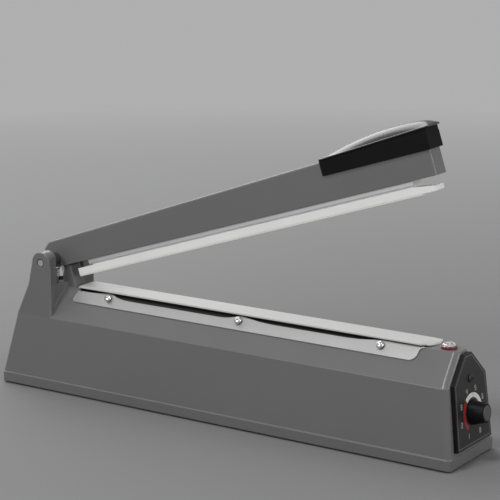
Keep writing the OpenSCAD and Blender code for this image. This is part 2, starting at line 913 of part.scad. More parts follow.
// Clamp plates on both roof slopes
plate_screw_l = 9;
plate_screw_v = plate_low + plate_h * 0.61;
function dip(u, power) = abs(u) < 1 ? pow(1 - pow(abs(u), power), 2) : 0;
function bay(x, x0, x1, power) = dip((2 * x - x0 - x1) / (x1 - x0), power);
function plate_edge(x) = plate_low + plate_h
    - scallop * (0.45 * bay(x, 2 * plate_start - screw_xs[0], screw_xs[0], 4)
               + bay(x, screw_xs[0], screw_xs[1], 12)
               + 0.75 * bay(x, screw_xs[1], screw_xs[2], 6));

module clamp_plate() {
    steps = 64;
    end_r = 8;
    start_r = 4;
    neck_r = 5;
    top = plate_low + plate_h;
    difference() {
        translate([0, 0, seat])
            linear_extrude(plate_t)
                polygon(concat(
                    [for (i = [0 : steps])
                        let (x = plate_start + 2 + (plate_end + neck_r - plate_start - 2) * i / steps)
                        [x, plate_edge(x)]],
                    [for (a = [90 : 15 : 180])
                        [plate_end + neck_r + neck_r * cos(a), top - 1 - neck_r + neck_r * sin(a)]],
                    [for (a = [0 : -15 : -90])
                        [plate_end - end_r + end_r * cos(a), plate_low + end_r + end_r * sin(a)]],
                    [for (a = [-90 : -15 : -180])
                        [plate_start + start_r + start_r * cos(a), plate_low + start_r + start_r * sin(a)]]));
        for (x = screw_xs)
            translate([x, plate_screw_v, -1]) cylinder(d = thread_d, h = 5);
    }
}

module clamp_screw_set() {
    for (x = screw_xs)
        translate([x, plate_screw_v, plate_t + 2 * seat])
            pan_screw(plate_screw_d, plate_screw_d * 0.4, thread_d - 2 * hole_gap, plate_screw_l);
}

module clamp_plate_near() {
    color("silver") slope_frame() clamp_plate();
}

module clamp_plate_far() {
    color("silver") mirror([0, 1, 0]) slope_frame() clamp_plate();
}

module clamp_screws_near() {
    color("gainsboro") slope_frame() clamp_screw_set();
}

module clamp_screws_far() {
    color("gainsboro") mirror([0, 1, 0]) slope_frame() clamp_screw_set();
}

// Ribbon terminals under the ridge
block_h = 11;
block_half = inner_ridge_y - 1.2;

module terminal_blocks() {
    color("saddlebrown")
        base_frame()
            difference() {
                for (x = ribbon_xs)
                    block(x - 9, x + 9, -block_half, block_half, inner_ridge_z - seat - block_h,
                          inner_ridge_z - seat);
                ribbon_slots(inner_ridge_z - block_h - 2, inner_ridge_z + 1);
                for (x = ribbon_xs)
                    rod_x(thread_d, x - 10, x + 10, 0, inner_ridge_z - 6);
            }
}

module terminal_screws() {
    color("goldenrod")
        base_frame()
            for (x = ribbon_xs, side = [0, 1])
                translate([x, 0, inner_ridge_z - 6])
                    mirror([side, 0, 0])
                        translate([9 + seat, 0, 0])
                            rotate([0, 90, 0]) pan_screw(6, 2, thread_d - 2 * hole_gap, 8);
}

// Transformer on the bottom plate
core_x = body_l - core_back;
core_low = bottom_t + 1.5;
leg_w = core_w / 3;
window_w = core_w / 6;
yoke_h = core_w / 6;
bracket_t = 1.5;
bracket_xs = [core_x - core_w / 2 - 9, core_x + core_w / 2 + 9];

module transformer_core() {
    color("dimgray")
        base_frame()
            difference() {
                block(core_x - core_w / 2, core_x + core_w / 2, -core_t / 2, core_t / 2,
                      core_low, core_low + core_h);
                for (side = [-1, 1])
                    translate([core_x + side * (leg_w / 2 + window_w / 2) - window_w / 2, -core_t, core_low + yoke_h])
                        cube([window_w, 2 * core_t, core_h - 2 * yoke_h]);
            }
}

module transformer_winding() {
    grow = window_w - 1;
    color("sienna")
        base_frame()
            difference() {
                translate([0, 0, core_low + yoke_h + 0.3])
                    linear_extrude(core_h - 2 * yoke_h - 0.6)
                        round_rect(core_x - leg_w / 2 - grow, core_x + leg_w / 2 + grow,
                                   core_t / 2 + grow * 0.8, 4);
                block(core_x - leg_w / 2 - 0.2, core_x + leg_w / 2 + 0.2,
                      -core_t / 2 - 0.2, core_t / 2 + 0.2, 0, big);
            }
}

module transformer_bracket() {
    x0 = core_x - core_w / 2 - seat;
    x1 = core_x + core_w / 2 + seat;
    top = core_low + core_h + seat;
    half = core_t / 2 - 4;
    color("silver")
        base_frame()
            difference() {
                union() {
                    block(x0 - bracket_t, x0, -half, half, bottom_t, top + bracket_t);
                    block(x1, x1 + bracket_t, -half, half, bottom_t, top + bracket_t);
                    block(x0 - bracket_t, x1 + bracket_t, -half, half, top, top + bracket_t);
                    block(x0 - 16, x0, -half, half, bottom_t, bottom_t + bracket_t);
                    block(x1, x1 + 16, -half, half, bottom_t, bottom_t + bracket_t);
                    block(x0, x1, -half, half, bottom_t, core_low - seat);
                }
                for (x = bracket_xs)
                    translate([x, 0, -1]) cylinder(d = thread_d, h = 6);
            }
}

module transformer_screws() {
    color("gainsboro")
        base_frame()
            for (x = bracket_xs)
                translate([x, 0, bottom_t + bracket_t + seat])
                    pan_screw(7, 2.4, thread_d - 2 * hole_gap, 3.2);
}

// Timer behind the front panel
lip_w = 36;
lip_low = -20;
lip_high = 20;
lip_t = 1.6;
lip_depth = 2;
panel_screw_v = 33.5;
board_x = -lip_depth - 11;
board_half = 24;
board_low = -26;
board_high = 24;

module panel_outline() {
    low = -(dial_z - rim_h - 4.5) / cos(front_lean);
    mid = (break_z + 2 - dial_z) / cos(front_lean);
    high = (ridge_z - 2.6 - dial_z) / cos(front_lean);
    polygon([[-side_y(15) + 9.4, low], [side_y(15) - 9.4, low],
             [break_w / 2 - 5.5, mid], [ridge_w / 2 - 3.3, high],
             [-ridge_w / 2 + 3.3, high], [-break_w / 2 + 5.5, mid]]);
}

module on_panel(x0, x1) {
    translate([x0, 0, 0]) rotate([90, 0, 90]) linear_extrude(x1 - x0) children();
}

module front_panel() {
    color([0.2, 0.2, 0.21])
        panel_frame()
            difference() {
                union() {
                    on_panel(seat, panel_t) panel_outline();
                    difference() {
                        block(-lip_depth, seat + eps, -lip_w / 2, lip_w / 2, lip_low, lip_high);
                        block(-lip_depth - 1, seat, -lip_w / 2 + lip_t, lip_w / 2 - lip_t,
                              lip_low + lip_t, lip_high - lip_t);
                    }
                }
                rod_x(bush_d + 2 * hole_gap, -10, 10);
                rod_x(thread_d, -10, 10, 0, panel_screw_v);
            }
}

module panel_screw() {
    color([0.08, 0.08, 0.08])
        panel_frame()
            translate([panel_t + seat, 0, panel_screw_v])
                rotate([0, 90, 0]) pan_screw(8, 2.2, thread_d - 2 * hole_gap, 10);
}

module potentiometer() {
    color("silver")
        panel_frame()
            difference() {
                union() {
                    rod_x(pot_d, board_x + 1.6 + seat, -seat);
                    rod_x(bush_d, -1, panel_t + nut_t + 0.6);
                }
                rod_x(shaft_d + 2 * fit, board_x + 3, 20);
            }
}

module pot_nut() {
    color("silver")
        panel_frame()
            difference() {
                translate([panel_t + seat, 0, 0])
                    rotate([0, 90, 0]) cylinder(d = nut_w, h = nut_t, $fn = 6);
                rod_x(bush_d + 2 * fit, -20, 20);
            }
}

module pot_shaft() {
    color("silver")
        panel_frame()
            rod_x(shaft_d, board_x + 3.2, panel_t + knob_l - 2);
}

module timer_board() {
    color("darkgreen")
        panel_frame()
            block(board_x, board_x + 1.6, -board_half, board_half, board_low, board_high);
}

module timer_relay() {
    color("royalblue")
        panel_frame()
            block(board_x - 15, board_x - seat, -18, 0, -20, -1);
}

module timer_capacitors() {
    color("midnightblue")
        panel_frame()
            for (spot = [[10, -14, 8, 14], [12, 0, 6.4, 11], [-8, 10, 10, 16]])
                rod_x(spot[2], board_x - spot[3], board_x - seat, spot[0], spot[1]);
}

// Dial print, raised by the thickness of the ink
ink = 0.15;
arc_w = 4.6;
module arc(from, to) {
    intersection() {
        difference() {
            circle(dial_r);
            circle(dial_r - arc_w);
        }
        polygon(concat([[0, 0]], [for (i = [0 : 8]) let (a = from + (to - from) * i / 8)
            [2 * dial_r * cos(a), 2 * dial_r * sin(a)]]));
    }
}

module dial_arc_red() {
    color("firebrick")
        panel_frame() on_panel(panel_t, panel_t + ink) arc(131, 232);
}

module dial_arc_white() {
    color("white")
        panel_frame() on_panel(panel_t, panel_t + ink) {
            arc(-30, 14);
            arc(16, 80);
            arc(82, 129);
        }
}

// Plain digits made of seven bars each, from the lowest setting round to the highest
dial_first = 240;
dial_turn = 300;
digit_h = 4.2;
digit_w = 2.4;
stroke = 0.6;
number_r = dial_r + 4.6;
DIGITS = [[0, 1, 1, 0, 0, 0, 0], [1, 1, 0, 1, 1, 0, 1], [1, 1, 1, 1, 0, 0, 1], [0, 1, 1, 0, 0, 1, 1],
          [1, 0, 1, 1, 0, 1, 1], [1, 0, 1, 1, 1, 1, 1], [1, 1, 1, 0, 0, 0, 0], [1, 1, 1, 1, 1, 1, 1]];

module digit(n) {
    bars = DIGITS[n - 1];
    h = digit_h / 2;
    w = digit_w / 2;
    across = [digit_w, stroke];
    upright = [stroke, h];
    spots = [[0, h, across], [w, h / 2, upright], [w, -h / 2, upright], [0, -h, across],
             [-w, -h / 2, upright], [-w, h / 2, upright], [0, 0, across]];
    for (i = [0 : 6])
        if (bars[i] == 1)
            translate([spots[i][0], spots[i][1]])
                square(spots[i][2] + [stroke, stroke], center = true);
}

module dial_numbers() {
    color("white")
        panel_frame()
            on_panel(panel_t, panel_t + ink)
                for (n = [1 : 8])
                    let (a = dial_first - (n - 1) * dial_turn / 7)
                    translate([number_r * cos(a), number_r * sin(a)]) digit(n);
}

// White line let into the knob at the highest setting, or with a greater height the groove for it
module pointer_bar(height) {
    lean = atan2((knob_d - knob_end_d) / 2, knob_l - 0.5);
    rotate([dial_first - dial_turn - 90, 0, 0])
        translate([panel_t + 0.5, 0, knob_d / 2])
            rotate([0, lean, 0])
                intersection() {
                    block(2.4, knob_l, -0.8, 0.8, -1.3, height);
                    rotate([0, -lean, 0]) block(-5, knob_l - 0.5, -5, 5, -5, 5);
                }
}

module knob() {
    foot = panel_t + nut_t + 0.3;
    color([0.1, 0.1, 0.1])
        panel_frame()
            difference() {
                translate([panel_t + 0.5, 0, 0])
                    rotate([0, 90, 0])
                        difference() {
                            cylinder(d1 = knob_d, d2 = knob_end_d, h = knob_l - 0.5);
                            for (a = [0 : 20 : 340])
                                rotate([0, 0, a])
                                    translate([knob_d / 2 + 0.5, 0, 3]) cylinder(d = 2, h = knob_l);
                        }
                rod_x(nut_w + 4, 0, foot + 1);
                rod_x(shaft_d, 0, panel_t + knob_l - 2);
                rod_x(knob_end_d - 3, panel_t + knob_l - 1, panel_t + knob_l + 2);
                pointer_bar(2);
            }
}

module knob_cap() {
    color("gray")
        panel_frame()
            translate([panel_t + knob_l - 1, 0, 0])
                rotate([0, 90, 0])
                    union() {
                        cylinder(d = cap_d, h = 1.6);
                        translate([0, 0, 1.6]) cylinder(d1 = cap_d, d2 = cap_d - 2, h = 0.6);
                    }
}

module knob_pointer() {
    color("white") panel_frame() pointer_bar(0);
}

// Lamp on the ridge
lamp_body_d = 10;
lens_d = lamp_d - 3.6;

module lamp_lens() {
    color([0.9, 0.9, 0.92, 0.6])
        base_frame()
            translate([lamp_x, 0, ridge_z + 2.6])
                difference() {
                    union() {
                        cylinder(d = lens_d, h = 1.4, $fn = 12);
                        translate([0, 0, 1.4]) cylinder(d1 = lens_d, d2 = lens_d * 0.55, h = 1.6, $fn = 12);
                    }
                    translate([0, 0, -1]) cylinder(d = lens_d - 4, h = 2);
                }
}

module lamp_ring() {
    color("darkred")
        base_frame()
            translate([lamp_x, 0, ridge_z])
                difference() {
                    cylinder(d = lamp_d, h = 2.6 - seat, $fn = 12);
                    translate([0, 0, -1]) cylinder(d = lamp_body_d + 2 * hole_gap, h = 5);
                }
}

module lamp_body() {
    color("ivory")
        base_frame()
            translate([lamp_x, 0, 0]) {
                translate([0, 0, ridge_z - 22]) cylinder(d = lamp_body_d, h = 24.4);
                translate([0, 0, inner_ridge_z - 3.3]) cylinder(d = 13.5, h = 3, $fn = 6);
                for (x = [-2.5, 2.5])
                    translate([x, 0, ridge_z - 27]) cylinder(d = 1.2, h = 6);
            }
}

housing();
bottom_plate();
bottom_screws();
rubber_feet();
cable_inlet();
inlet_nut();
hinge_pin();
pin_clips();
pin_spacers();
hinge_tube();
stop_studs();
arm();
spring_pin();
return_spring();
spring_anchor();
channel();
channel_bolts();
channel_spacers();
presser_bar();
silicone_strip();
handle();
handle_screws();
microswitch();
switch_plunger();
switch_bracket();
switch_screws();
platform_bar();
insulation_tape();
heating_ribbon();
release_cloth();
clamp_plate_near();
clamp_plate_far();
clamp_screws_near();
clamp_screws_far();
terminal_blocks();
terminal_screws();
transformer_core();
transformer_winding();
transformer_bracket();
transformer_screws();
timer_board();
timer_relay();
timer_capacitors();
potentiometer();
pot_shaft();
pot_nut();
front_panel();
panel_screw();
dial_arc_red();
dial_arc_white();
dial_numbers();
knob();
knob_cap();
knob_pointer();
lamp_lens();
lamp_ring();
lamp_body();
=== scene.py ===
import json
import math

import bmesh
import bpy
from mathutils import Matrix, Vector


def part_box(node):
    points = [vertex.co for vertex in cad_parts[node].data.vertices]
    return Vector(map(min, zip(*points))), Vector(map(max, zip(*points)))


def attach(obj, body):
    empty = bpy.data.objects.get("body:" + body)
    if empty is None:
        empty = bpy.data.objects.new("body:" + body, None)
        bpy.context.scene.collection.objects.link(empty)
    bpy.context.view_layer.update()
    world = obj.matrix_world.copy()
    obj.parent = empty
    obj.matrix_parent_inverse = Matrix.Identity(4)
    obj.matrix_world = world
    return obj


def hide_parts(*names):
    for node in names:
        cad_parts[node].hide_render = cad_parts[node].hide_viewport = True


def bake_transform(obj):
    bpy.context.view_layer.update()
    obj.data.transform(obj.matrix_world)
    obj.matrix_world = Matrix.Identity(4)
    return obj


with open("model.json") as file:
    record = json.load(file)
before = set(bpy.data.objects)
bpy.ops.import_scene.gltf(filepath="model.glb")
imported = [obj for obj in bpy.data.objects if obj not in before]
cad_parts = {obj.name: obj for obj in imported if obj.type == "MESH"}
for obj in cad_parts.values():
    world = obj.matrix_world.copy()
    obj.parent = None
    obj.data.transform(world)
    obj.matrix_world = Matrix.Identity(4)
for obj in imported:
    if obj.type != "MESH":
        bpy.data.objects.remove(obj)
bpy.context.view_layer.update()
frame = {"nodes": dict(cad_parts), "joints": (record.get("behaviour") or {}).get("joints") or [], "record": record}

bl_info = {
    "name": "Hand impulse sealer",
    "version": (1, 0, 0),
    "blender": (4, 5, 0),
    "location": "3D View > Sidebar > Sealer",
    "description": "Builds the visible pieces of a hand impulse sealer over its frame",
    "category": "Object",
}

MM = 0.001
JOINTS = {joint["name"]: joint for joint in frame["joints"]}
SLOT_OF = {part["node"]: part["material_slot"] for part in frame["record"]["subparts"]}

# Frames, all in millimetres: the base from the rear of the rim, the arm from its hinge when closed,
# the panel from the middle of the dial
rim_low, rim_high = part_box("housing")
hinge = Vector(JOINTS["arm_hinge"]["pos_m"])
BASE = Matrix.Translation((rim_low.x, 0, rim_low.z)) @ Matrix.Scale(MM, 4)
OPEN_ANGLE = math.radians(JOINTS["arm_hinge"]["range_deg"][1])
ARM = Matrix.Translation(hinge) @ Matrix.Rotation(-OPEN_ANGLE, 4, "Y") @ Matrix.Scale(MM, 4)
FACE_LEAN = math.asin(JOINTS["knob_turn"]["axis"][2])
PANEL = (Matrix.Translation(JOINTS["knob_turn"]["pos_m"]) @ Matrix.Rotation(-FACE_LEAN, 4, "Y")
         @ Matrix.Scale(MM, 4))


def mm(length):
    """A length in metres, in millimetres."""
    return length / MM


def frame_mm(length):
    """A length of the frame in millimetres, to a tenth."""
    return round(mm(length), 1)


# Main sizes of the frame, in millimetres
BODY_L = frame_mm(rim_high.x - rim_low.x)
BODY_HALF = frame_mm(rim_high.y)
RIM_H = 10.8
RIM_STEP = 1.2
BREAK_Z = 77
BREAK_HALF = 37.1
RIDGE_Z = 106.2
RIDGE_HALF = 10.4
ROOF_ANGLE = math.atan2(RIDGE_Z - BREAK_Z, BREAK_HALF - RIDGE_HALF)
WALL = 2.6
FRONT_LEAN = math.tan(math.radians(6))
REAR_ANGLE = math.radians(14)
HINGE_X = frame_mm(hinge.x - rim_low.x)
HINGE_Z = frame_mm(hinge.z - rim_low.z)
PIN_R = 3.55
EAR_IN = 23.1
EAR_X0 = 17.7
EAR_X1 = 67.5
EAR_FOOT = 64
TONGUE_HALF = 8.2
INLET_Z = 30
ARM_L = 479.97
ARM_HALF = 10.5
SHEET = 1.5
PIN_BACK = 9
HANDLE_X0 = 356.97
HANDLE_X1 = 485.97
HANDLE_RISE = 5.6
PLATFORM_X0 = frame_mm(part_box("platform_bar")[0].x - rim_low.x)
PLATFORM_X1 = frame_mm(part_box("platform_bar")[1].x - rim_low.x)
CLAMP_SCREWS = (127, 292.2, 457.5)
CLAMP_SCREW_V = 32.9

# The front plate: heights of its foot, shoulder and top over the dial, half widths of foot and shoulder,
# and how its edges lean
PANEL_V = (-31.27, 32.78, 57.52)
PANEL_FOOT_HALF = 33.97
PANEL_SHOULDER_HALF = 31.6
PANEL_TAPER = 0.037
PANEL_SLOPE = (0.711, 0.704)


def front_x(z):
    return BODY_L - RIM_STEP - (z - RIM_H) * FRONT_LEAN


def rear_x(z):
    return RIM_STEP + (z - RIM_H) * math.tan(REAR_ANGLE)


def arm_top(x):
    return 19.3 + 13.5 * x / ARM_L


def share(value, start, end):
    """How far a value is on its way from start to end, from 0 to 1."""
    return min(1, max(0, (value - start) / (end - start)))


def eased(t):
    """A share from 0 to 1 that starts and ends gently."""
    return t * t * (3 - 2 * t)


# Outlines and meshes
def rounded_path(corners, steps, closed=True):
    """Points along a path whose corners are (x, y, radius)."""
    points = []
    last = len(corners) - 1
    for i, (x, y, radius) in enumerate(corners):
        here = Vector((x, y))
        if radius <= 0 or (not closed and i in (0, last)):
            points.append(here)
            continue
        back = (Vector(corners[i - 1][:2]) - here).normalized()
        ahead = (Vector(corners[(i + 1) % len(corners)][:2]) - here).normalized()
        half = back.angle(ahead) / 2
        centre = here + (back + ahead).normalized() * radius / math.sin(half)
        start = here + back * radius / math.tan(half) - centre
        end = here + ahead * radius / math.tan(half) - centre
        first = math.atan2(start.y, start.x)
        turn = math.remainder(math.atan2(end.y, end.x) - first, math.tau)
        for k in range(steps + 1):
            angle = first + turn * k / steps
            points.append(centre + radius * Vector((math.cos(angle), math.sin(angle))))
    return points


def arc(x, y, radius, start, end, steps):
    """Points on a circle between two angles in degrees."""
    angles = [math.radians(start + (end - start) * k / steps) for k in range(steps + 1)]
    return [Vector((x + radius * math.cos(a), y + radius * math.sin(a))) for a in angles]


def circle(radius, sides):
    """Points round a circle on its own XY plane."""
    turns = [math.tau * k / sides for k in range(sides)]
    return [Vector((radius * math.cos(a), radius * math.sin(a), 0)) for a in turns]


def signed_power(value, power):
    return math.copysign(abs(value) ** power, value)


def plan_ring(x0, x1, half, front, rear, z_side, z_end, flatness=1):
    """A rectangle seen from above with front and rear corner radii. Sides and ends may differ in height.
    A flatness over 1 makes a front corner more of a chamfer."""
    steps = 10
    ring = []
    for x, y, radius, start, power in ((x1 - front, half - front, front, 0, flatness),
                                       (x0 + rear, half - rear, rear, 90, 1),
                                       (x0 + rear, -half + rear, rear, 180, 1),
                                       (x1 - front, -half + front, front, 270, flatness)):
        for k in range(steps + 1):
            a = math.radians(start + 90 * k / steps)
            ring.append((x + radius * signed_power(math.cos(a), power),
                         y + radius * signed_power(math.sin(a), power),
                         z_end + (z_side - z_end) * math.sin(a) ** 2))
    return ring


def piece_from(name, mesh):
    piece = bpy.data.objects.new(name, mesh)
    bpy.context.scene.collection.objects.link(piece)
    return piece


def solid(name, rings, place=BASE, caps=True, loop=True):
    """A mesh through rings of points, with its ends closed by caps."""
    same_point = 1e-7
    bm = bmesh.new()
    rows = [[bm.verts.new(place @ Vector(point)) for point in ring] for ring in rings]
    for low, high in zip(rows, rows[1:]):
        for k in range(len(low) - (0 if loop else 1)):
            m = (k + 1) % len(low)
            bm.faces.new((low[k], low[m], high[m], high[k]))
    if caps:
        bm.faces.new(reversed(rows[0]))
        bm.faces.new(rows[-1])
    bmesh.ops.remove_doubles(bm, verts=bm.verts, dist=same_point)
    bmesh.ops.dissolve_degenerate(bm, edges=bm.edges, dist=same_point)
    bmesh.ops.recalc_face_normals(bm, faces=bm.faces)
    mesh = bpy.data.meshes.new(name)
    bm.to_mesh(mesh)
    bm.free()
    return piece_from(name, mesh)


def offset(outline, insets):
    """A closed outline with each point moved inwards by its own inset."""
    area = sum(a.x * b.y - b.x * a.y for a, b in zip(outline, outline[1:] + outline[:1]))
    turn = 1 if area > 0 else -1
    moved = []
    for i, here in enumerate(outline):
        before = (here - outline[i - 1]).normalized()
        after = (outline[(i + 1) % len(outline)] - here).normalized()
        normal = Vector((-(before + after).y, (before + after).x)).normalized() * turn
        half = max(0.5, math.cos(before.angle(after, 0) / 2))
        moved.append(here + normal * insets[i] / half)
    return moved


def slab(name, outline, low, high, low_edge, high_edge, along, place=BASE, steps=5):
    """An outline given a thickness, with its edges rounded by a radius or by one for each point.
    along turns (u, v, height) into a point of the frame."""
    count = len(outline)
    low_edge = low_edge if isinstance(low_edge, list) else [low_edge] * count
    high_edge = high_edge if isinstance(high_edge, list) else [high_edge] * count
    rings = []
    for edge, level, side in ((low_edge, low, 1), (high_edge, high, -1)):
        turns = range(steps + 1) if side == 1 else range(steps, -1, -1)
        for k in turns:
            a = math.pi / 2 * k / steps
            flat = offset(outline, [r * (1 - math.sin(a)) for r in edge])
            rings.append([along(p.x, p.y, level + side * r * (1 - math.cos(a)))
                          for p, r in zip(flat, edge)])
    return solid(name, rings, place)


def across(u, v, height):
    """Side view: along the body, up, and across it."""
    return (u, height, v)


def outward(u, v, height):
    """Front view: across, up, and out of the panel."""
    return (height, u, v)


def rod(name, radius, start, end, place=BASE, sides=48):
    """A round bar between two points."""
    start, end = Vector(start), Vector(end)
    turn = (end - start).to_track_quat("Z", "Y")
    rings = [[centre + turn @ point for point in circle(radius, sides)] for centre in (start, end)]
    return solid(name, rings, place)


def brick(name, low, high, place=BASE):
    """A box between two opposite corners."""
    (x0, y0, z0), (x1, y1, z1) = low, high
    return solid(name, [[(x0, y0, z), (x1, y0, z), (x1, y1, z), (x0, y1, z)] for z in (z0, z1)], place)


def tube(name, points, radius, sides=12):
    """A round wire along a path."""
    points = [Vector(p) for p in points]
    rings = []
    normal = Vector((0, 1, 0))
    for i, here in enumerate(points):
        ahead = (points[min(i + 1, len(points) - 1)] - points[max(i - 1, 0)]).normalized()
        normal = (normal - ahead * normal.dot(ahead)).normalized()
        side = ahead.cross(normal)
        rings.append([here + p.x * normal + p.y * side for p in circle(radius, sides)])
    return solid(name, rings)


def turned(name, profile, place, sides=40):
    """A shape of revolution about its own Z axis, from (radius, height) points."""
    return solid(name, [[(p.x, p.y, z) for p in circle(r, sides)] for r, z in profile], place)


def repeated(piece, places):
    """Puts a copy of a piece at each place, as one mesh."""
    bm = bmesh.new()
    for place in places:
        copy = piece.data.copy()
        copy.transform(place)
        bm.from_mesh(copy)
        bpy.data.meshes.remove(copy)
    bm.to_mesh(piece.data)
    bm.free()


def apply_modifiers(piece):
    """Keeps the shape that a piece's modifiers give it, and removes them."""
    bpy.context.view_layer.update()
    graph = bpy.context.evaluated_depsgraph_get()
    mesh = bpy.data.meshes.new_from_object(piece.evaluated_get(graph))
    piece.modifiers.clear()
    piece.data = mesh


def combine(piece, others, operation):
    """Joins other solids to a piece, or cuts them away, and removes them."""
    for other in others:
        step = piece.modifiers.new("combine", "BOOLEAN")
        step.operation = operation
        step.solver = "EXACT"
        step.object = other
        apply_modifiers(piece)
        bpy.data.objects.remove(other)


def smooth(piece, angle):
    """Smooth shading that keeps edges sharper than the angle."""
    for face in piece.data.polygons:
        face.use_smooth = True
    piece.data.set_sharp_from_angle(angle=math.radians(angle))
    piece.modifiers.new("even_normals", "WEIGHTED_NORMAL").keep_sharp = True


def soften(node, width, body, finishes, second=None):
    """Lets a copy of a frame node's mesh with its edges rounded stand for that node."""
    same_point = 2e-6
    flat = math.radians(2)
    sharp = math.radians(40)
    bm = bmesh.new()
    bm.from_mesh(frame["nodes"][node].data)
    bmesh.ops.remove_doubles(bm, verts=bm.verts, dist=same_point)
    bmesh.ops.dissolve_limit(bm, angle_limit=flat, verts=bm.verts, edges=bm.edges)
    bmesh.ops.recalc_face_normals(bm, faces=bm.faces)
    mesh = bpy.data.meshes.new(node)
    bm.to_mesh(mesh)
    bm.free()
    piece = piece_from(node + "_piece", mesh)
    step = piece.modifiers.new("edges", "BEVEL")
    step.width = width
    step.segments = 3
    step.limit_method = "ANGLE"
    step.angle_limit = sharp
    step.miter_outer = "MITER_ARC"
    apply_modifiers(piece)
    stand_for(piece, node, body, finishes, second=second)


def stand_for(piece, node, body, finishes, angle=32, second=None):
    """Gives a piece its finish, body and slot, and hides the node that it replaces.
    second tells from a face's centre whether the face takes the second finish."""
    smooth(piece, angle)
    piece.data.materials.clear()
    for finish in finishes:
        piece.data.materials.append(FINISHES[finish])
    for face in piece.data.polygons:
        face.material_index = 1 if second and second(face.center) else 0
    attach(piece, body)
    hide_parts(node)


# Shader maths
class Socket:
    """An output socket that can be used in sums with other sockets and numbers."""

    def __init__(self, finish, output):
        self.finish = finish
        self.output = output

    def math(self, operation, *values):
        return self.finish.node("ShaderNodeMath", {"operation": operation}, dict(enumerate(values)))

    def __add__(self, other):
        return self.math("ADD", self, other)

    def __radd__(self, other):
        return self.math("ADD", other, self)

    def __sub__(self, other):
        return self.math("SUBTRACT", self, other)

    def __rsub__(self, other):
        return self.math("SUBTRACT", other, self)

    def __mul__(self, other):
        return self.math("MULTIPLY", self, other)

    def __rmul__(self, other):
        return self.math("MULTIPLY", other, self)

    def __abs__(self):
        return self.math("ABSOLUTE", self)

    def least(self, other):
        return self.math("MINIMUM", self, other)

    def clip(self, low, high):
        """This value spread over 0 to 1 between low and high, and held at its ends."""
        return self.finish.node("ShaderNodeMapRange", {"clamp": True},
                                {"Value": self, "From Min": low, "From Max": high})


def tinted(colour, factor):
    """A colour made darker or lighter."""
    return tuple(min(1, channel * factor) for channel in colour)


class Finish:
    """A material with one surface shader, built from nodes."""

    # Rays that look for a near edge, and the length of one wave at a texture scale of 1
    EDGE_SAMPLES = 6
    WAVE_PERIOD = 0.314

    def __init__(self, name):
        self.material = bpy.data.materials.new(name)
        self.material.use_nodes = True
        self.nodes = self.material.node_tree.nodes
        self.links = self.material.node_tree.links
        self.shader = self.nodes["Principled BSDF"]
        self.place = self.node("ShaderNodeTexCoord", {}, {}, "Object")

    def node(self, kind, settings, values, output=0):
        """Adds a node, makes its settings, then fills its sockets with numbers or links."""
        node = self.nodes.new(kind)
        for name, value in settings.items():
            setattr(node, name, value)
        for name, value in values.items():
            self.fill(node.inputs[name], value)
        return Socket(self, node.outputs[output])

    def fill(self, socket, value):
        """Links a socket or sets its value, and makes a colour of three channels opaque."""
        if isinstance(value, Socket):
            self.links.new(value.output, socket)
        elif isinstance(value, tuple) and len(value) == 3 and len(socket.default_value) == 4:
            socket.default_value = (*value, 1)
        else:
            socket.default_value = value

    def surface(self, **values):
        """Sets sockets of the shader; an underscore stands for a space."""
        for name, value in values.items():
            self.fill(self.shader.inputs[name.replace("_", " ")], value)
        return self.material

    def along(self, direction, start):
        """The distance in millimetres from a start point, in metres, along a direction."""
        away = self.node("ShaderNodeVectorMath", {"operation": "SUBTRACT"},
                         {0: self.place, 1: tuple(start)})
        return self.node("ShaderNodeVectorMath", {"operation": "DOT_PRODUCT"},
                         {0: away, 1: tuple(d / MM for d in direction)}, "Value")

    def stretched(self, scale):
        """The place on the object, in millimetres, squeezed by a scale for each axis."""
        return self.node("ShaderNodeMapping", {},
                         {"Vector": self.place, "Scale": tuple(s / MM for s in scale)})

    def noise(self, scale, detail=3, rough=0.55, vector=None):
        """Noise with so many features to the millimetre."""
        return self.node("ShaderNodeTexNoise", {},
                         {"Vector": vector or self.stretched((scale, scale, scale)), "Scale": 1,
                          "Detail": detail, "Roughness": rough})

    def waves(self, axis, pitch, **values):
        """Bands across one axis, with a pitch in millimetres."""
        return self.node("ShaderNodeTexWave", {"bands_direction": axis},
                         {"Vector": self.stretched((1, 1, 1)), "Scale": self.WAVE_PERIOD / pitch, **values})

    def mix(self, factor, one, other):
        """A colour between two colours."""
        return self.node("ShaderNodeMix", {"data_type": "RGBA"}, {0: factor, 6: one, 7: other}, 2)

    def edge_wear_and_highlight(self, radius):
        """0 on flat surfaces, up to 1 on the rounding of a convex or concave edge."""
        soft = self.node("ShaderNodeBevel", {"samples": self.EDGE_SAMPLES}, {"Radius": radius})
        plain = self.node("ShaderNodeNewGeometry", {}, {}, "Normal")
        dot = self.node("ShaderNodeVectorMath", {"operation": "DOT_PRODUCT"}, {0: soft, 1: plain}, "Value")
        return (1 - dot).clip(0.005, 0.2)

    def relief(self, height, depth, edge=None):
        """A normal from a height between 0 and 1 and its depth in metres, with edges rounded first."""
        values = {"Height": height, "Distance": depth, "Strength": 1}
        if edge:
            values["Normal"] = self.node("ShaderNodeBevel", {"samples": self.EDGE_SAMPLES}, {"Radius": edge})
        return self.node("ShaderNodeBump", {}, values)


def grey(level):
    return (level, level, level)


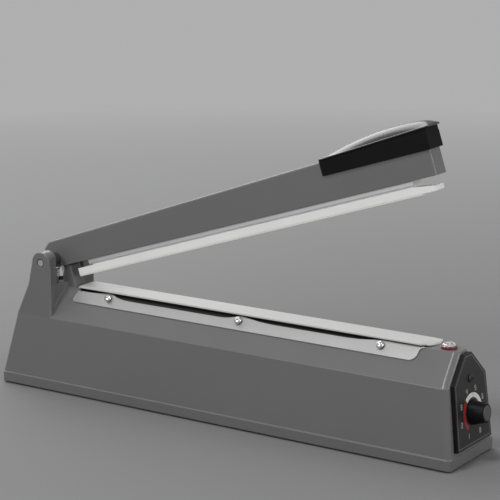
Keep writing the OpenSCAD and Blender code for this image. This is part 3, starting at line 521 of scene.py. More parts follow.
# In all finishes grain is in features to the millimetre, and depth and edge radius are in metres
def paint_finish(name, settings, band=False):
    """Smooth semi-gloss enamel: faint orange peel, small dust specks, and edges made paler, partly as wear and
    partly as a painted highlight. The casting has a near-black band along its ridge, which the clamp plates leave
    open between their screws; it is painted shade for the shaded gap under the cloth's edge."""
    band_foot = 100.2
    f = Finish(name)
    peel = f.noise(0.55, 2, 0.5)
    cloud = f.noise(0.012, 4, 0.6)
    speck = f.noise(2.6, 1, 0.5).clip(0.70, 0.76)
    base = tuple(settings.paint)
    dust_wear_and_highlight = tinted(base, 1.7)
    tint = f.mix(cloud, tinted(base, 0.94), tinted(base, 1.06))
    tint = f.mix(speck * 0.25, tint, dust_wear_and_highlight)
    # painted highlight: edges of the enamel are made paler, partly as wear and partly as a highlight painted into
    # the colour
    tint = f.mix(f.edge_wear_and_highlight(0.0009) * 0.3, tint, dust_wear_and_highlight)
    # painted shade: a near-black band along the ridge between the platform's ends, where the gap under the cloth's
    # edge lies in shade
    if band:
        start = BASE @ Vector((0, 0, 0))
        x, z = f.along((1, 0, 0), start), f.along((0, 0, 1), start)
        inside = x.clip(PLATFORM_X0 + 1, PLATFORM_X0 + 2) * (1 - x.clip(PLATFORM_X1 - 3, PLATFORM_X1 - 2))
        tint = f.mix(inside * z.clip(band_foot, band_foot + 0.3), tint, grey(0.004))
    return f.surface(Base_Color=tint, Roughness=cloud * 0.08 + (settings.paint_roughness - 0.04),
                     Normal=f.relief(peel, 0.00003, 0.001))


def metal_finish(name, colour, roughness, stretch, depth, edge):
    """Metal whose fine marks are stretched along an axis, with uneven sheen."""
    f = Finish(name)
    marks = f.noise(1, 3, 0.6, f.stretched(stretch))
    cloud = f.noise(0.03, 3, 0.6)
    tint = f.mix(cloud, tinted(colour, 0.88), colour)
    return f.surface(Base_Color=tint, Metallic=1.0, Roughness=marks * 0.14 + (roughness - 0.05),
                     Normal=f.relief(marks, depth, edge))


def plastic_finish(name, colour, roughness, grain, depth, edge, coat=0, dust=0, shine=0.5, polish=0.06):
    """Moulded plastic: a fine grain, slight unevenness, and a little dust where it is asked for."""
    f = Finish(name)
    fine = f.noise(grain, 2, 0.5)
    cloud = f.noise(0.02, 3, 0.6)
    tint = f.mix(cloud, tinted(colour, 0.92), tinted(colour, 1.08))
    if dust:
        specks = f.noise(3.1, 1, 0.4).clip(0.69, 0.75)
        tint = f.mix(specks * dust, tint, grey(0.5))
    return f.surface(Base_Color=tint, Roughness=cloud * 0.1 + (roughness - 0.05), Coat_Weight=coat,
                     Coat_Roughness=polish, Specular_IOR_Level=shine, Normal=f.relief(fine, depth, edge))


def banded_finish(name, dark, light, axis, pitch, roughness, metallic, depth):
    """Layers or turns of wire, seen as fine bands across one axis."""
    f = Finish(name)
    bands = f.waves(axis, pitch, Distortion=0.6, Detail=1)
    tint = f.mix(bands, dark, light)
    return f.surface(Base_Color=tint, Metallic=metallic, Roughness=bands * 0.1 + roughness,
                     Normal=f.relief(bands, depth))


def weave_finish(name, colour, pitch):
    """Coated glass cloth: a fine square weave under a slightly glossy coat."""
    f = Finish(name)
    weave = f.waves("X", pitch, Distortion=0.3) * f.waves("Y", pitch, Distortion=0.3)
    cloud = f.noise(0.03, 4, 0.6)
    tint = f.mix(cloud * 0.6 + weave * 0.2, tinted(colour, 0.88), colour)
    return f.surface(Base_Color=tint, Roughness=cloud * 0.12 + 0.36,
                     Normal=f.relief(weave + cloud * 0.8, 0.00005))


def film_finish(name, colour):
    """Printed film on the front plate, with a thin pale line inside its edge as a painted highlight of a raised
    rim, and a top made lighter as a painted sheen.
    """
    f = Finish(name)
    start = PANEL @ Vector((0, 0, 0))
    up = (PANEL.to_3x3() @ Vector((0, 0, 1))).normalized()
    v, y = f.along(up, start), abs(f.along((0, 1, 0), start))
    low, mid, high = PANEL_V
    side = PANEL_FOOT_HALF - y - (v - low) * PANEL_TAPER
    slope = (PANEL_SHOULDER_HALF - y) * PANEL_SLOPE[0] + (mid - v) * PANEL_SLOPE[1]
    inside = side.least(slope).least(v - low).least(high - v)
    # painted highlight: a thin pale line inside the film's edge stands in for the highlight of a raised rim
    rim_highlight = inside.clip(2.1, 2.3) * (1 - inside.clip(2.7, 2.9))
    fine = f.noise(1.6, 2, 0.5)
    cloud = f.noise(0.02, 3, 0.6)
    tint = f.mix(cloud, tinted(colour, 0.92), tinted(colour, 1.08))
    # painted sheen: the film is made lighter towards its top
    tint = f.mix(v.clip(34, 52) * 0.5, tint, tinted(colour, 1.7))
    tint = f.mix(rim_highlight * 0.5, tint, grey(0.32))
    return f.surface(Base_Color=tint, Roughness=cloud * 0.1 + 0.36,
                     Normal=f.relief(fine, 0.00002, 0.0004))


def button_finish(name, cap, stem):
    """Switch button, white above a set height and near black below it."""
    stem_top = 117.2
    f = Finish(name)
    fine = f.noise(0.9, 2, 0.5)
    z = f.along((0, 0, 1), BASE @ Vector((0, 0, 0)))
    tint = f.mix(z.clip(stem_top, stem_top + 0.3), stem, f.mix(fine, tinted(cap, 0.94), cap))
    return f.surface(Base_Color=tint, Roughness=fine * 0.1 + 0.32,
                     Normal=f.relief(fine, 0.00002, 0.0003))


def lens_finish(name):
    """Clear plastic with a faint haze."""
    f = Finish(name)
    haze = f.noise(0.3)
    return f.surface(Base_Color=f.mix(haze, (0.93, 0.90, 0.90), (1.0, 0.99, 0.99)),
                     Roughness=haze * 0.05 + 0.02, Transmission_Weight=0.85, IOR=1.49)


def ring_finish(name):
    """Deep red plastic of uneven depth under a clear coat."""
    f = Finish(name)
    depth = f.noise(0.25)
    return f.surface(Base_Color=f.mix(depth, (0.085, 0.007, 0.009), (0.15, 0.011, 0.014)),
                     Roughness=depth * 0.1 + 0.12, Coat_Weight=0.6, Coat_Roughness=0.05,
                     Normal=f.relief(depth, 0.00004, 0.0003))


def make_finishes(settings):
    """Every finish, by its slot in the record or by a name of its own where a slot has several."""
    polished, rolled, brushed = (0.6, 0.6, 0.6), (0.15, 0.9, 0.9), (0.04, 2.2, 2.2)
    return {
        "grey_paint": paint_finish("grey_enamel", settings),
        "casting": paint_finish("grey_enamel_casting", settings, band=True),
        "zinc_steel": metal_finish("zinc_plate", (0.62, 0.63, 0.64), 0.36, rolled, 0.00002, 0.0003),
        "channel": metal_finish("channel_zinc", (0.78, 0.78, 0.79), 0.58, rolled, 0.00002, 0.0003),
        "bright_steel": metal_finish("nickel_plate", (0.82, 0.82, 0.83), 0.17, polished, 0.00001, 0.0003),
        "aluminium": metal_finish("aluminium", (0.46, 0.46, 0.46), 0.45, brushed, 0.00002, 0.0004),
        "white_bar": plastic_finish("white_enamel", (0.80, 0.80, 0.79), 0.42, 0.5, 0.00002, 0.0005),
        "silicone": plastic_finish("silicone", (0.72, 0.72, 0.71), 0.5, 0.9, 0.00004, 0.0004),
        "release_cloth": weave_finish("coated_cloth", tuple(settings.cloth), 0.7),
        "black_gloss": plastic_finish("gloss_black", tuple(settings.handle), 0.38, 0.1, 0.00001, None,
                                      coat=0.6, dust=0.03, shine=0.8, polish=0.22),
        "skirt": plastic_finish("satin_black", tinted(settings.handle, 0.6), 0.5, 0.6, 0.00002, 0.0006,
                                dust=0.03, shine=0.12),
        # painted shade: the pin spacers are made dark grey for the shade in the gap between the ears and the arm
        "spacer": plastic_finish("spacer", grey(0.05), 0.5, 0.9, 0.00002, 0.0004, shine=0.3),
        # Near black with little shine: the knob's own black, and painted shade on the front plate's sides and the
        # screws' undersides
        "deep_black": plastic_finish("deep_black", grey(0.005), 0.45, 0.9, 0.00002, 0.0005, shine=0.15),
        "black_matte": plastic_finish("matte_black", (0.014, 0.014, 0.015), 0.42, 1.4, 0.00003, 0.0004),
        "panel_black": film_finish("panel_film", tuple(settings.panel)),
        "rubber": plastic_finish("rubber", (0.018, 0.018, 0.018), 0.75, 1.2, 0.00005, 0.0005),
        "nylon": plastic_finish("nylon", (0.62, 0.60, 0.54), 0.45, 0.9, 0.00003, 0.0003),
        "switch_grey": plastic_finish("switch_case", (0.24, 0.24, 0.25), 0.45, 1.1, 0.00003, 0.0003),
        "switch_white": button_finish("switch_button", (0.80, 0.80, 0.78), grey(0.01)),
        "black_bar": plastic_finish("platform_paint", (0.016, 0.016, 0.017), 0.45, 0.8, 0.00003, 0.0004),
        "bakelite": plastic_finish("bakelite", (0.07, 0.028, 0.014), 0.4, 0.4, 0.00003, 0.0003),
        "brass": metal_finish("brass", (0.72, 0.52, 0.24), 0.28, polished, 0.00001, 0.0002),
        "tape": weave_finish("glass_tape", (0.55, 0.45, 0.30), 0.9),
        "core_steel": banded_finish("core_sheets", (0.06, 0.06, 0.07), (0.20, 0.20, 0.21),
                                    "Y", 0.5, 0.4, 0.8, 0.00005),
        "winding": banded_finish("enamelled_wire", (0.16, 0.045, 0.018), (0.42, 0.15, 0.06),
                                 "Z", 0.6, 0.3, 0.6, 0.0001),
        "board": banded_finish("circuit_board", (0.010, 0.055, 0.022), (0.016, 0.085, 0.035),
                               "Y", 2.5, 0.35, 0, 0.00001),
        "relay_blue": plastic_finish("relay_case", (0.02, 0.12, 0.42), 0.35, 0.9, 0.00002, 0.0004),
        "cap_blue": plastic_finish("capacitor_sleeve", (0.02, 0.03, 0.10), 0.3, 0.8, 0.00002, 0.0005),
        "print_red": plastic_finish("red_print", (0.27, 0.018, 0.016), 0.42, 1.8, 0.00001, 0.0001),
        "print_white": plastic_finish("white_print", (0.66, 0.66, 0.65), 0.45, 1.8, 0.00001, 0.0001),
        "numbers": plastic_finish("faint_print", (0.26, 0.26, 0.26), 0.45, 1.8, 0.00001, 0.0001),
        "cap_grey": plastic_finish("cap_paint", (0.075, 0.075, 0.078), 0.32, 1.2, 0.00002, 0.0004),
        "lens_clear": lens_finish("clear_lens"),
        "lens_red": ring_finish("red_lens"),
    }


# Sizes and colours that a user may change
class CastingSizes(bpy.types.PropertyGroup):
    break_round: bpy.props.FloatProperty(
        name="Break rounding", description="Rounding where the side walls meet the roof slopes",
        default=1.5 * MM, min=0.5 * MM, max=3.5 * MM, unit="LENGTH", precision=4)
    ridge_round: bpy.props.FloatProperty(
        name="Ridge rounding", description="Rounding along the edges of the flat ridge",
        default=1.5 * MM, min=0.3 * MM, max=3 * MM, unit="LENGTH", precision=4)
    ear_round: bpy.props.FloatProperty(
        name="Ear rounding", description="Rounding of the ears' rear corners",
        default=2.8 * MM, min=1 * MM, max=6.5 * MM, unit="LENGTH", precision=4)


class ArmSizes(bpy.types.PropertyGroup):
    fold_round: bpy.props.FloatProperty(
        name="Fold rounding", description="Outer radius of the folded sheet along the arm's top edges",
        default=2.4 * MM, min=0.5 * MM, max=4 * MM, unit="LENGTH", precision=4)
    lip_round: bpy.props.FloatProperty(
        name="Lip rounding", description="Rounding of the handle's lip",
        default=0.9 * MM, min=0.3 * MM, max=1 * MM, unit="LENGTH", precision=4)
    spring_wire: bpy.props.FloatProperty(
        name="Spring wire radius", description="Radius of the return spring's wire",
        default=0.7 * MM, min=0.3 * MM, max=0.8 * MM, unit="LENGTH", precision=5)


class Colours(bpy.types.PropertyGroup):
    paint: bpy.props.FloatVectorProperty(
        name="Enamel", description="Colour of the casting and the arm", subtype="COLOR", size=3,
        default=(0.137, 0.137, 0.139), min=0, max=1)
    paint_roughness: bpy.props.FloatProperty(
        name="Enamel roughness", description="How matt the enamel is", default=0.29, min=0.1, max=1,
        subtype="FACTOR")
    handle: bpy.props.FloatVectorProperty(
        name="Handle", description="Colour of the handle", subtype="COLOR", size=3,
        default=(0.007, 0.007, 0.007), min=0, max=1)
    panel: bpy.props.FloatVectorProperty(
        name="Panel", description="Colour of the panel's film", subtype="COLOR", size=3,
        default=(0.016, 0.016, 0.018), min=0, max=1)
    cloth: bpy.props.FloatVectorProperty(
        name="Release cloth", description="Colour of the cloth over the heating ribbon", subtype="COLOR",
        size=3, default=(0.55, 0.55, 0.54), min=0, max=1)
    floor: bpy.props.FloatVectorProperty(
        name="Floor", description="Colour of the floor near the machine", subtype="COLOR", size=3,
        default=(0.2, 0.2, 0.202), min=0, max=1)
    backdrop: bpy.props.FloatVectorProperty(
        name="Backdrop", description="Colour of the far floor and the backdrop", subtype="COLOR", size=3,
        default=(0.43, 0.43, 0.43), min=0, max=1)


# Filled by the finishes operator; OWN_FINISH names the nodes that don't take the finish of their slot
FINISHES = {}
# The pin spacers take a dark grey finish as painted shade for the gap between ears and arm
OWN_FINISH = {"dial_numbers": "numbers", "knob": "deep_black", "pin_spacers": "spacer"}


class SEALER_OT_stage(bpy.types.Operator):
    """Make the camera, the grey floor and the soft studio lights"""
    bl_idname = "sealer.stage"
    bl_label = "Stage"

    def execute(self, context):
        scene = context.scene
        azimuth, elevation, roll = 0.593246, 0.230682, -0.0068557
        distance, focal_length, film_width = 1.98039, 141.97, 36
        aim = BASE @ Vector((295.877, 0, 173.223))
        back = Vector((math.sin(azimuth) * math.cos(elevation), -math.cos(azimuth) * math.cos(elevation),
                       math.sin(elevation)))
        right = Vector((math.cos(azimuth), math.sin(azimuth), 0))
        up = back.cross(right)
        right, up = (math.cos(roll) * right + math.sin(roll) * up,
                     math.cos(roll) * up - math.sin(roll) * right)
        data = bpy.data.cameras.new("camera")
        data.lens = focal_length
        data.sensor_width = film_width
        camera = bpy.data.objects.new("camera", data)
        turn = Matrix((right, up, back)).transposed().to_4x4()
        camera.matrix_world = Matrix.Translation(aim + back * distance) @ turn
        scene.collection.objects.link(camera)
        scene.camera = camera
        scene.view_settings.view_transform = "Standard"
        self.floor(scene.sealer_colours)
        self.lights(scene)
        return {"FINISHED"}

    def floor(self, colours):
        """A grey floor that fades with distance into the paler colour of the backdrop."""
        near, far = tuple(colours.floor), tuple(colours.backdrop)
        fade_start, fade_end = 0.3, 2
        f = Finish("studio_floor")
        fine = f.noise(0.05, 3)
        f.surface(Base_Color=f.mix(fine, tinted(near, 0.99), near), Roughness=0.8, Specular_IOR_Level=0.2)
        reach = f.node("ShaderNodeVectorMath", {"operation": "LENGTH"}, {0: f.place}, "Value")
        glow = f.node("ShaderNodeEmission", {}, {"Color": far})
        shade = f.node("ShaderNodeMixShader", {},
                       {0: reach.clip(fade_start, fade_end), 1: Socket(f, f.shader.outputs[0]), 2: glow})
        f.links.new(shade.output, f.nodes["Material Output"].inputs["Surface"])
        rings = [circle(radius, 96) for radius in (0.001, 0.5, 3, 40)]
        floor = solid("floor", rings, Matrix.Identity(4), caps=False)
        floor.data.materials.append(f.material)
        world = bpy.data.worlds.new("backdrop")
        world.use_nodes = True
        world.node_tree.nodes["Background"].inputs["Color"].default_value = (*far, 1)
        world.node_tree.nodes["Background"].inputs["Strength"].default_value = 1
        bpy.context.scene.world = world

    def lights(self, scene):
        """Soft rectangular lamps that all face the foot of the machine."""
        aim = Vector((0, 0, 0.1))
        for name, spot, width, height, power in (("key", (-0.6, -1.9, 1.2), 0.6, 0.6, 16),
                                                 ("top", (0.1, -0.72, 1.7), 0.4, 0.3, 8),
                                                 ("fill", (2.2, -0.1, 0.9), 1.2, 1.2, 15),
                                                 ("rim", (-1.1, 0.5, 1.1), 1.5, 1.1, 14)):
            data = bpy.data.lights.new(name, "AREA")
            data.shape = "RECTANGLE"
            data.size = width
            data.size_y = height
            data.energy = power
            lamp = bpy.data.objects.new(name, data)
            lamp.location = spot
            lamp.rotation_mode = "QUATERNION"
            lamp.rotation_quaternion = (Vector(spot) - aim).to_track_quat("Z", "Y")
            scene.collection.objects.link(lamp)


class SEALER_OT_finishes(bpy.types.Operator):
    """Make the finishes and give them to the frame's own pieces"""
    bl_idname = "sealer.finishes"
    bl_label = "Finishes"

    def execute(self, context):
        FINISHES.update(make_finishes(context.scene.sealer_colours))
        for node, piece in frame["nodes"].items():
            piece.data.materials.clear()
            piece.data.materials.append(FINISHES[OWN_FINISH.get(node, SLOT_OF[node])])
        return {"FINISHED"}


class SEALER_OT_casting(bpy.types.Operator):
    """Cast the tapered base with its hinge ears and guide tongue"""
    bl_idname = "sealer.casting"
    bl_label = "Base casting"

    # Height over the break in which the wall's corners turn into the roof's, and corner radii at the
    # front and the rear
    BLEND_H = 5
    RIM_CORNERS = (4.4, 4.5)
    WALL_CORNERS = (6.8, 3.3)

    def execute(self, context):
        sizes = context.scene.sealer_casting
        base = self.shell(mm(sizes.break_round), mm(sizes.ridge_round))
        combine(base, [self.ears(mm(sizes.ear_round))], "UNION")
        combine(base, self.hollows(), "DIFFERENCE")
        stand_for(base, "housing", "base", ["casting"], 30)
        return {"FINISHED"}

    def shell(self, break_round, ridge_round):
        """Rings up the outside of the base, with the rim, break and ridge rounded."""
        steps = 6
        blend_half = BREAK_HALF - self.BLEND_H / math.tan(ROOF_ANGLE)
        side = rounded_path([(BODY_HALF, 0, 0), (BODY_HALF, RIM_H, 0.9), (BODY_HALF - RIM_STEP, RIM_H, 0),
                             (BREAK_HALF, BREAK_Z, break_round), (blend_half, BREAK_Z + self.BLEND_H, 0),
                             (RIDGE_HALF, RIDGE_Z, ridge_round), (0, RIDGE_Z, 0)], steps, closed=False)[:-1]
        rings = []
        for step, (half, z) in enumerate(side):
            ridge_step = step - (len(side) - steps - 1)
            inset = BODY_HALF - half if z <= RIM_H else 0
            x0, x1, z_end = (inset, BODY_L - inset, z) if z <= RIM_H else (rear_x(z), front_x(z), z)
            if ridge_step >= 0:
                a = math.pi / 2 * ridge_step / steps
                round_off = ridge_round * (1 - math.cos(a))
                z_end = RIDGE_Z - ridge_round * (1 - math.sin(a))
                x0, x1 = rear_x(RIDGE_Z) + round_off, front_x(z_end) - round_off
            front, rear = self.corners(z, inset)
            flatness = 1 + 0.25 * share(z, BREAK_Z, BREAK_Z + self.BLEND_H)
            rings.append(plan_ring(x0, x1, half, front, rear, z, z_end, flatness))
        return solid("base_casting", rings)

    def corners(self, z, inset):
        """Front and rear corner radii of the plan at a height."""
        if z <= RIM_H:
            return [radius - inset for radius in self.RIM_CORNERS]
        shoulder = share(z, BREAK_Z, BREAK_Z + self.BLEND_H)
        crest = share(z, BREAK_Z + self.BLEND_H, RIDGE_Z)
        front, rear = self.WALL_CORNERS
        return front - 0.6 * crest, rear - 0.6 * shoulder - crest

    def ears(self, ear_round):
        """Both hinge ears with the cross wall and the guide tongue between them."""
        ear_r, bend, scoop_r, scoop_x = 11.5, 18, 28, 90.5
        round_top, round_inside, round_front = 0.9, 0.7, 1.8
        outline = [Vector((EAR_X1, EAR_FOOT)), Vector((EAR_X1, 108))]
        outline += rounded_path([(EAR_X1, 108, 0), (EAR_X1, 112.7, bend), (HINGE_X + ear_r, HINGE_Z, 0)], 4,
                                closed=False)[1:-1]
        outline += arc(HINGE_X, HINGE_Z, ear_r, 0, 180, 40)
        outline += rounded_path([(HINGE_X - ear_r, HINGE_Z, 0), (33.8, 110.5, bend),
                                 (EAR_X0, BREAK_Z, 0)], 6, closed=False)[1:]
        outline += [Vector((EAR_X0, EAR_FOOT))]
        outer = []
        for p in outline:
            below = share(HINGE_Z - p.y, 8, 20)
            front = share(HINGE_Z - p.y, 2, 18) if p.x > HINGE_X else 0
            outer.append(round_top + (ear_round - round_top) * below + round_front * front)
        near = slab("ear", outline, -BREAK_HALF, -EAR_IN, outer, round_inside, across)
        far = slab("ear", outline, EAR_IN, BREAK_HALF, round_inside, outer, across)
        wall = brick("cross_wall", (60.5, -EAR_IN - 0.5, 70), (66.5, EAR_IN + 0.5, 111))
        combine(near, [far, wall], "UNION")
        scoops = [rod("scoop", scoop_r, (scoop_x, y, 79), (scoop_x, y, 160), sides=96)
                  for y in (-EAR_IN, EAR_IN)]
        combine(near, scoops, "DIFFERENCE")
        tongue = rounded_path([(60.5, 72, 0), (60.5, 130.7, 1.2), (69.5, 130.7, 3), (76, 108.7, 6),
                               (77.5, 103.2, 0), (77.5, 72, 0)], 5)
        combine(near, [slab("tongue", tongue, -TONGUE_HALF, TONGUE_HALF, 0.7, 0.7, across)], "UNION")
        return near

    def hollows(self):
        """Everything that is cut out of the casting."""
        inlet_r, lamp_r, lamp_back, recess_r = 7.1, 5.1, 15.8, 4.5
        window_y, window_z, thread_z = 18.3, 20.3, 33.5
        sections = ((-1, 41.22, 6), (75.88, 34.64, 5), (103.6, 8.93, 2))
        inner = [plan_ring(rear_x(z) + WALL, front_x(z) - WALL, half, corner, min(corner, 3), z, z)
                 for z, half, corner in sections]
        rear = Vector((rear_x(INLET_Z), 0, INLET_Z))
        out = Vector((math.cos(REAR_ANGLE), 0, -math.sin(REAR_ANGLE)))
        lamp_x = front_x(RIDGE_Z) - lamp_back
        cuts = [solid("cavity", inner), brick("pocket", (30.5, -EAR_IN, BREAK_Z), (60.5, EAR_IN, 200)),
                rod("hinge_bore", PIN_R, (HINGE_X, -60, HINGE_Z), (HINGE_X, 60, HINGE_Z)),
                rod("inlet", inlet_r, rear - out * 6, rear + out * 8),
                rod("lamp_hole", lamp_r, (lamp_x, 0, 100), (lamp_x, 0, 110)),
                brick("window", (-6, -window_y, -window_z), (2, window_y, window_z), PANEL),
                rod("panel_thread", 1.6, (-8, 0, thread_z), (4, 0, thread_z), PANEL)]
        for y0, y1 in ((-35.6, -40), (35.6, 40)):
            cuts.append(rod("pin_recess", recess_r, (HINGE_X, y0, HINGE_Z), (HINGE_X, y1, HINGE_Z)))
        return cuts


class SEALER_OT_arm(bpy.types.Operator):
    """Fold the pressing arm and hang its channel, bar and strip in it"""
    bl_idname = "sealer.arm"
    bl_label = "Pressing arm"

    def execute(self, context):
        fold = mm(context.scene.sealer_arm.fold_round)
        tail, foot, tube_r, spring_pin_r = -14.6, -9.5, 5.55, 1.55
        tail_round, crest_round, nose_round = 7, 9, 2.5
        inside = ARM_HALF - SHEET
        outline = rounded_path([(tail, -14, 0), (tail, 12.1, tail_round), (-5, arm_top(-5), crest_round),
                                (ARM_L, arm_top(ARM_L), nose_round), (ARM_L, -14, 0)], 6)
        arm = slab("arm_sheet", outline, -ARM_HALF, ARM_HALF, fold, fold, across, ARM)
        inner = rounded_path([(tail + SHEET, -16, 0), (tail + SHEET, 11.2, tail_round - SHEET),
                              (-4.2, arm_top(-5) - SHEET, crest_round - SHEET),
                              (ARM_L - SHEET, arm_top(ARM_L) - SHEET, nose_round - SHEET),
                              (ARM_L - SHEET, -16, 0)], 6)
        combine(arm, [slab("inside", inner, -inside, inside, 0.9, 0.9, across, ARM),
                      brick("below", (-40, -20, -30), (ARM_L + 20, 20, foot), ARM),
                      rod("tube_bore", tube_r, (0, -20, 0), (0, 20, 0), ARM),
                      rod("pin_bore", spring_pin_r, (-PIN_BACK, -20, 0), (-PIN_BACK, 20, 0), ARM)],
                "DIFFERENCE")
        stand_for(arm, "arm", "arm", ["grey_paint"], 30)
        for name, node, finish, half, low, high, round_low, start, end in (
                ("bar_channel", "channel", "channel", 8.8, -15.1, -3, 1.8, 41, ARM_L - 28),
                ("soft_strip", "silicone_strip", "silicone", 8.75, -25.2, -23.62, 0.5, 24.7, ARM_L - 20.5)):
            section = rounded_path([(-half, high, 0.3), (-half, low, round_low), (half, low, round_low),
                                    (half, high, 0.3)], 6)
            strip = slab(name, section, start, end, 0.1, 0.1, outward, ARM, steps=2)
            stand_for(strip, node, "arm", [finish], 40)
        soften("presser_bar", 0.0002, "arm", ["white_bar"])
        return {"FINISHED"}


class SEALER_OT_handle(bpy.types.Operator):
    """Mould the handle: skirt, projecting lip and domed crown"""
    bl_idname = "sealer.handle"
    bl_label = "Handle"

    # Heights over the hinge's level, half widths, the crown's highest point and twice the radius of its
    # arch, and the length and drop of its nose
    SKIRT_FOOT = 15.4
    LIP_START = 31.3
    SKIRT_HALF = 12.5
    LIP_HALF = 13.5
    CORNER_R = 5
    CROWN_X = 448
    CROWN_Z = 44
    CROWN_ARCH = 670
    NOSE_L = 16
    NOSE_DROP = 3.4

    def execute(self, context):
        lip = mm(context.scene.sealer_arm.lip_round)
        length = HANDLE_X1 - HANDLE_X0
        near_end = [0, 0.25, 0.9, 2, 3.5, self.CORNER_R]
        spots = near_end + [self.CORNER_R + (length - 2 * self.CORNER_R) * k / 40 for k in range(1, 40)]
        spots += [length - s for s in reversed(near_end)]
        rings = [self.section(HANDLE_X0 + s, s / length, self.pull_in(min(s, length - s)), lip)
                 for s in spots]
        handle = solid("handle_grip", rings, ARM)
        room_half, lip_reach = ARM_HALF + 0.1, 4
        room = [[(x, -room_half, 10), (x, room_half, 10), (x, room_half, arm_top(x) + 0.05),
                 (x, -room_half, arm_top(x) + 0.05)] for x in (HANDLE_X0 - 2, ARM_L + 0.3)]
        under_lip = brick("under_lip", (HANDLE_X1 - lip_reach, -20, 10), (HANDLE_X1 + 1, 20, 36), ARM)
        combine(handle, [solid("arm_room", room, ARM), under_lip], "DIFFERENCE")
        to_arm = ARM.inverted()

        def below_lip(spot):
            spot = to_arm @ spot
            return spot.z < self.LIP_START - 0.5 + HANDLE_RISE * (spot.x - HANDLE_X0) / length

        stand_for(handle, "handle", "arm", ["black_gloss", "skirt"], 38, below_lip)
        return {"FINISHED"}

    def pull_in(self, distance):
        """How far the plan's rounded corners pull the sides in near an end."""
        radius = self.CORNER_R
        return radius - math.sqrt(max(0, radius ** 2 - max(0, radius - distance) ** 2))

    def section(self, x, way, inset, lip):
        """Points round the handle across its length, from the bottom up and over."""
        middle = self.LIP_START + HANDLE_RISE * way
        skirt = self.SKIRT_HALF - inset * 0.6
        neck = skirt - 0.6
        edge = self.LIP_HALF - inset
        shoulder = min(self.LIP_START, middle - lip - 0.1)
        nose = max(0, 1 - (HANDLE_X1 - x) / self.NOSE_L)
        arch = self.CROWN_Z - (x - self.CROWN_X) ** 2 / self.CROWN_ARCH - self.NOSE_DROP * nose ** 3
        crown = max(middle + lip + 0.25, arch)
        half = [(skirt - 0.7, self.SKIRT_FOOT), (skirt - 0.2, self.SKIRT_FOOT + 0.2),
                (skirt, self.SKIRT_FOOT + 0.7), (skirt, shoulder - 0.6), (neck, shoulder),
                (neck, middle - lip)]
        half += [(p.x, p.y) for p in arc(edge - lip, middle, lip, -80, 80, 8)]
        foot, rise = middle + lip + 0.02, crown - middle - lip
        reach = edge - lip - 0.3
        radius = (reach ** 2 + rise ** 2) / (2 * rise)
        widest = math.asin(reach / radius)
        for k in range(20):
            a = widest * (1 - k / 20)
            half.append((radius * math.sin(a), foot + rise - radius * (1 - math.cos(a))))
        top = [(0, foot + rise)]
        return [(x, y, z) for y, z in half + top] + [(x, -y, z) for y, z in reversed(half)]


class SEALER_OT_hinge(bpy.types.Operator):
    """Wind the return spring between its anchor and the arm's tail"""
    bl_idname = "sealer.hinge"
    bl_label = "Hinge and spring"

    def execute(self, context):
        wire = mm(context.scene.sealer_arm.spring_wire)
        x = HINGE_X - PIN_BACK * math.cos(OPEN_ANGLE)
        top = HINGE_Z - PIN_BACK * math.sin(OPEN_ANGLE)
        low, loop_r = 88, 1.8 + wire
        coil_r, turns, coil_low, coil_high = 3.6, 14, low + 6, HINGE_Z - 14
        steps = 24
        low_hook = arc(x, low, loop_r, 135, 405, 18)
        top_hook = arc(x, top, loop_r, -60, -345, 19)
        coil = []
        for k in range(turns * steps + 1):
            a = math.tau * k / steps
            z = coil_low + (coil_high - coil_low) * k / (turns * steps)
            coil.append((x + coil_r * math.cos(a), coil_r * math.sin(a), z))
        path = [(p.x, 0, p.y) for p in low_hook] + [(x + 1.6, 0, low + 4.2)] + coil
        path += [(x + 1.6, 0, top - 4.6)] + [(p.x, 0, p.y) for p in top_hook]
        spring = tube("tail_spring", path, wire)
        smooth(spring, 60)
        spring.data.materials.append(FINISHES["bright_steel"])
        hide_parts("return_spring")
        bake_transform(spring)
        return {"FINISHED"}


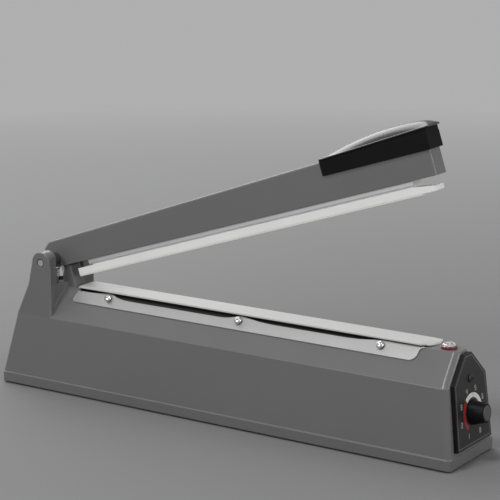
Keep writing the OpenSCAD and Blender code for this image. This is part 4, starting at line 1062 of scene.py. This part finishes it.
class SEALER_OT_platform(bpy.types.Operator):
    """Lay the release cloth over the platform and fix the clamp plates"""
    bl_idname = "sealer.platform"
    bl_label = "Platform and clamp plates"

    def execute(self, context):
        self.cloth()
        for side, name in ((-1, "near"), (1, "far")):
            soften("clamp_plate_" + name, 0.00035, "base", ["aluminium"])
            self.screws(side, "clamp_screws_" + name)
        return {"FINISHED"}

    def screws(self, side, node):
        """Three domed screws with a cross recess, on one roof slope."""
        plain = Matrix.Identity(4)
        shank_r, foot_r, head_r = 1.6, 2.9, 4.1
        dome_z, dome_h, slot_half, slot_reach, slot_z = 2.2, 2.3, 0.45, 2.2, 3.2
        painted_shade_top = 2.65
        profile = [(shank_r, -9), (shank_r, 0), (foot_r, 0), (foot_r, 1.3), (head_r - 0.3, 1.3),
                   (head_r, 1.7), (head_r, dome_z)]
        profile += [(head_r * math.cos(a), dome_z + dome_h * math.sin(a))
                    for a in [math.radians(9 * k) for k in range(1, 10)]]
        screw = turned("domed_" + node, profile, plain)
        cross = [brick("recess", (-x, -y, slot_z), (x, y, 6), plain)
                 for x, y in ((slot_reach, slot_half), (slot_half, slot_reach))]
        combine(screw, cross, "DIFFERENCE")
        slope = (BASE @ Matrix.Translation((0, side * BREAK_HALF, BREAK_Z))
                 @ Matrix.Rotation(-side * ROOF_ANGLE, 4, "X"))
        repeated(screw, [slope @ Matrix.Translation((x, -side * CLAMP_SCREW_V, 1.3))
                         for x in CLAMP_SCREWS])
        to_slope = slope.inverted()
        # painted shade: below a set height the screws take the near-black finish, for the shade under their heads
        stand_for(screw, node, "base", ["bright_steel", "deep_black"], 40,
                  lambda spot: (to_slope @ spot).z < painted_shade_top)

    def cloth(self):
        """A strip folded down over both long sides and the rear end of the platform, with a tongue that
        runs down past its front end and narrows from the near side."""
        low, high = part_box("release_cloth")
        x0, z1 = mm(low.x - rim_low.x), mm(high.z - rim_low.z)
        x1, half = mm(high.x - rim_low.x), mm(high.y)
        thick, gap, hem, fold_r, tongue, tip = 0.25, 0.2, 1.8, 0.7, 11, 5
        rear_bend, rear_drop, side_sag = 4, 0.7, 1.6
        steps, tongue_steps = 120, 16
        flank = rounded_path([(-half, z1 - hem, 0), (-half, z1, fold_r), (half, z1, fold_r),
                              (half, z1 - hem, 0)], 5, closed=False)
        row = flank[:7] + [Vector((half * (k / 8 - 1), z1)) for k in range(1, 16)] + flank[7:]
        rings = [[(x0 + 0.1, p.x * 0.95, z1 - 3) for p in row]]
        for k in range(steps + 1):
            x = x0 + gap + (x1 - x0 - 2 * gap) * k / steps
            end = max(0, 1 - (x - x0 - gap) / rear_bend)
            wave = 0.05 * math.sin(x * 0.11) + 0.03 * math.sin(x * 0.37)
            rings.append([(x, p.x * (1 - 0.05 * end ** 2),
                           p.y - thick - rear_drop * end ** 2 + wave * (1 - abs(p.x) / half))
                          for p in row])
        for k in range(1, tongue_steps + 1):
            t = k / tongue_steps
            bend = eased(t)
            narrowing = 0.28 * eased(share(t, 0, 0.45)) + 0.72 * share(t, 0.45, 1) ** 2
            near = -half + (2 * half - tip) * narrowing
            far = half - 0.6 * bend
            rings.append([(x1 - gap + tongue * t, near + (p.x + half) * (far - near) / (2 * half),
                           z1 - thick - (z1 - p.y) * (1 - bend)
                           - side_sag * (bend + t) * (half - p.x) / (2 * half) - 0.4 * bend)
                          for p in row])
        cloth = solid("cloth_strip", rings, caps=False, loop=False)
        step = cloth.modifiers.new("thickness", "SOLIDIFY")
        step.thickness = thick * MM
        step.offset = -1
        apply_modifiers(cloth)
        stand_for(cloth, "release_cloth", "base", ["release_cloth"], 40)


class SEALER_OT_front(bpy.types.Operator):
    """Fit the front plate, the knob with its cap, and the lamp"""
    bl_idname = "sealer.front"
    bl_label = "Front panel, dial and lamp"

    def execute(self, context):
        to_panel = PANEL.inverted()
        face = 4.45
        # The plate is black; its sides take the deeper black as painted shade for the gap round the plate, its
        # face the film
        soften("front_panel", 0.0008, "base", ["deep_black", "panel_black"],
               lambda spot: (to_panel @ spot).x > face)
        for node, body, width in (("knob_cap", "dial", 0.0003), ("lamp_ring", "base", 0.0004),
                                  ("lamp_lens", "base", 0.0002)):
            soften(node, width, body, [SLOT_OF[node]])
        return {"FINISHED"}


OPERATORS = (SEALER_OT_stage, SEALER_OT_finishes, SEALER_OT_casting, SEALER_OT_arm, SEALER_OT_handle,
             SEALER_OT_hinge, SEALER_OT_platform, SEALER_OT_front)
GROUPS = (CastingSizes, ArmSizes, Colours)


class SEALER_PT_panel(bpy.types.Panel):
    """Lists the steps that build the sealer"""
    bl_idname = "SEALER_PT_panel"
    bl_label = "Hand impulse sealer"
    bl_space_type = "VIEW_3D"
    bl_region_type = "UI"
    bl_category = "Sealer"

    def draw(self, context):
        scene = context.scene
        for group in (scene.sealer_casting, scene.sealer_arm, scene.sealer_colours):
            for name in group.bl_rna.properties.keys():
                if name not in ("rna_type", "name"):
                    self.layout.prop(group, name)
        for operator in OPERATORS:
            self.layout.operator(operator.bl_idname)


def register():
    for cls in GROUPS + OPERATORS + (SEALER_PT_panel,):
        bpy.utils.register_class(cls)
    bpy.types.Scene.sealer_casting = bpy.props.PointerProperty(type=CastingSizes)
    bpy.types.Scene.sealer_arm = bpy.props.PointerProperty(type=ArmSizes)
    bpy.types.Scene.sealer_colours = bpy.props.PointerProperty(type=Colours)


def unregister():
    del bpy.types.Scene.sealer_colours
    del bpy.types.Scene.sealer_arm
    del bpy.types.Scene.sealer_casting
    for cls in reversed(GROUPS + OPERATORS + (SEALER_PT_panel,)):
        bpy.utils.unregister_class(cls)


def main():
    register()
    bpy.ops.sealer.stage()
    bpy.ops.sealer.finishes()
    bpy.ops.sealer.casting()
    bpy.ops.sealer.arm()
    bpy.ops.sealer.handle()
    bpy.ops.sealer.hinge()
    bpy.ops.sealer.platform()
    bpy.ops.sealer.front()


if __name__ == "__main__":
    main()
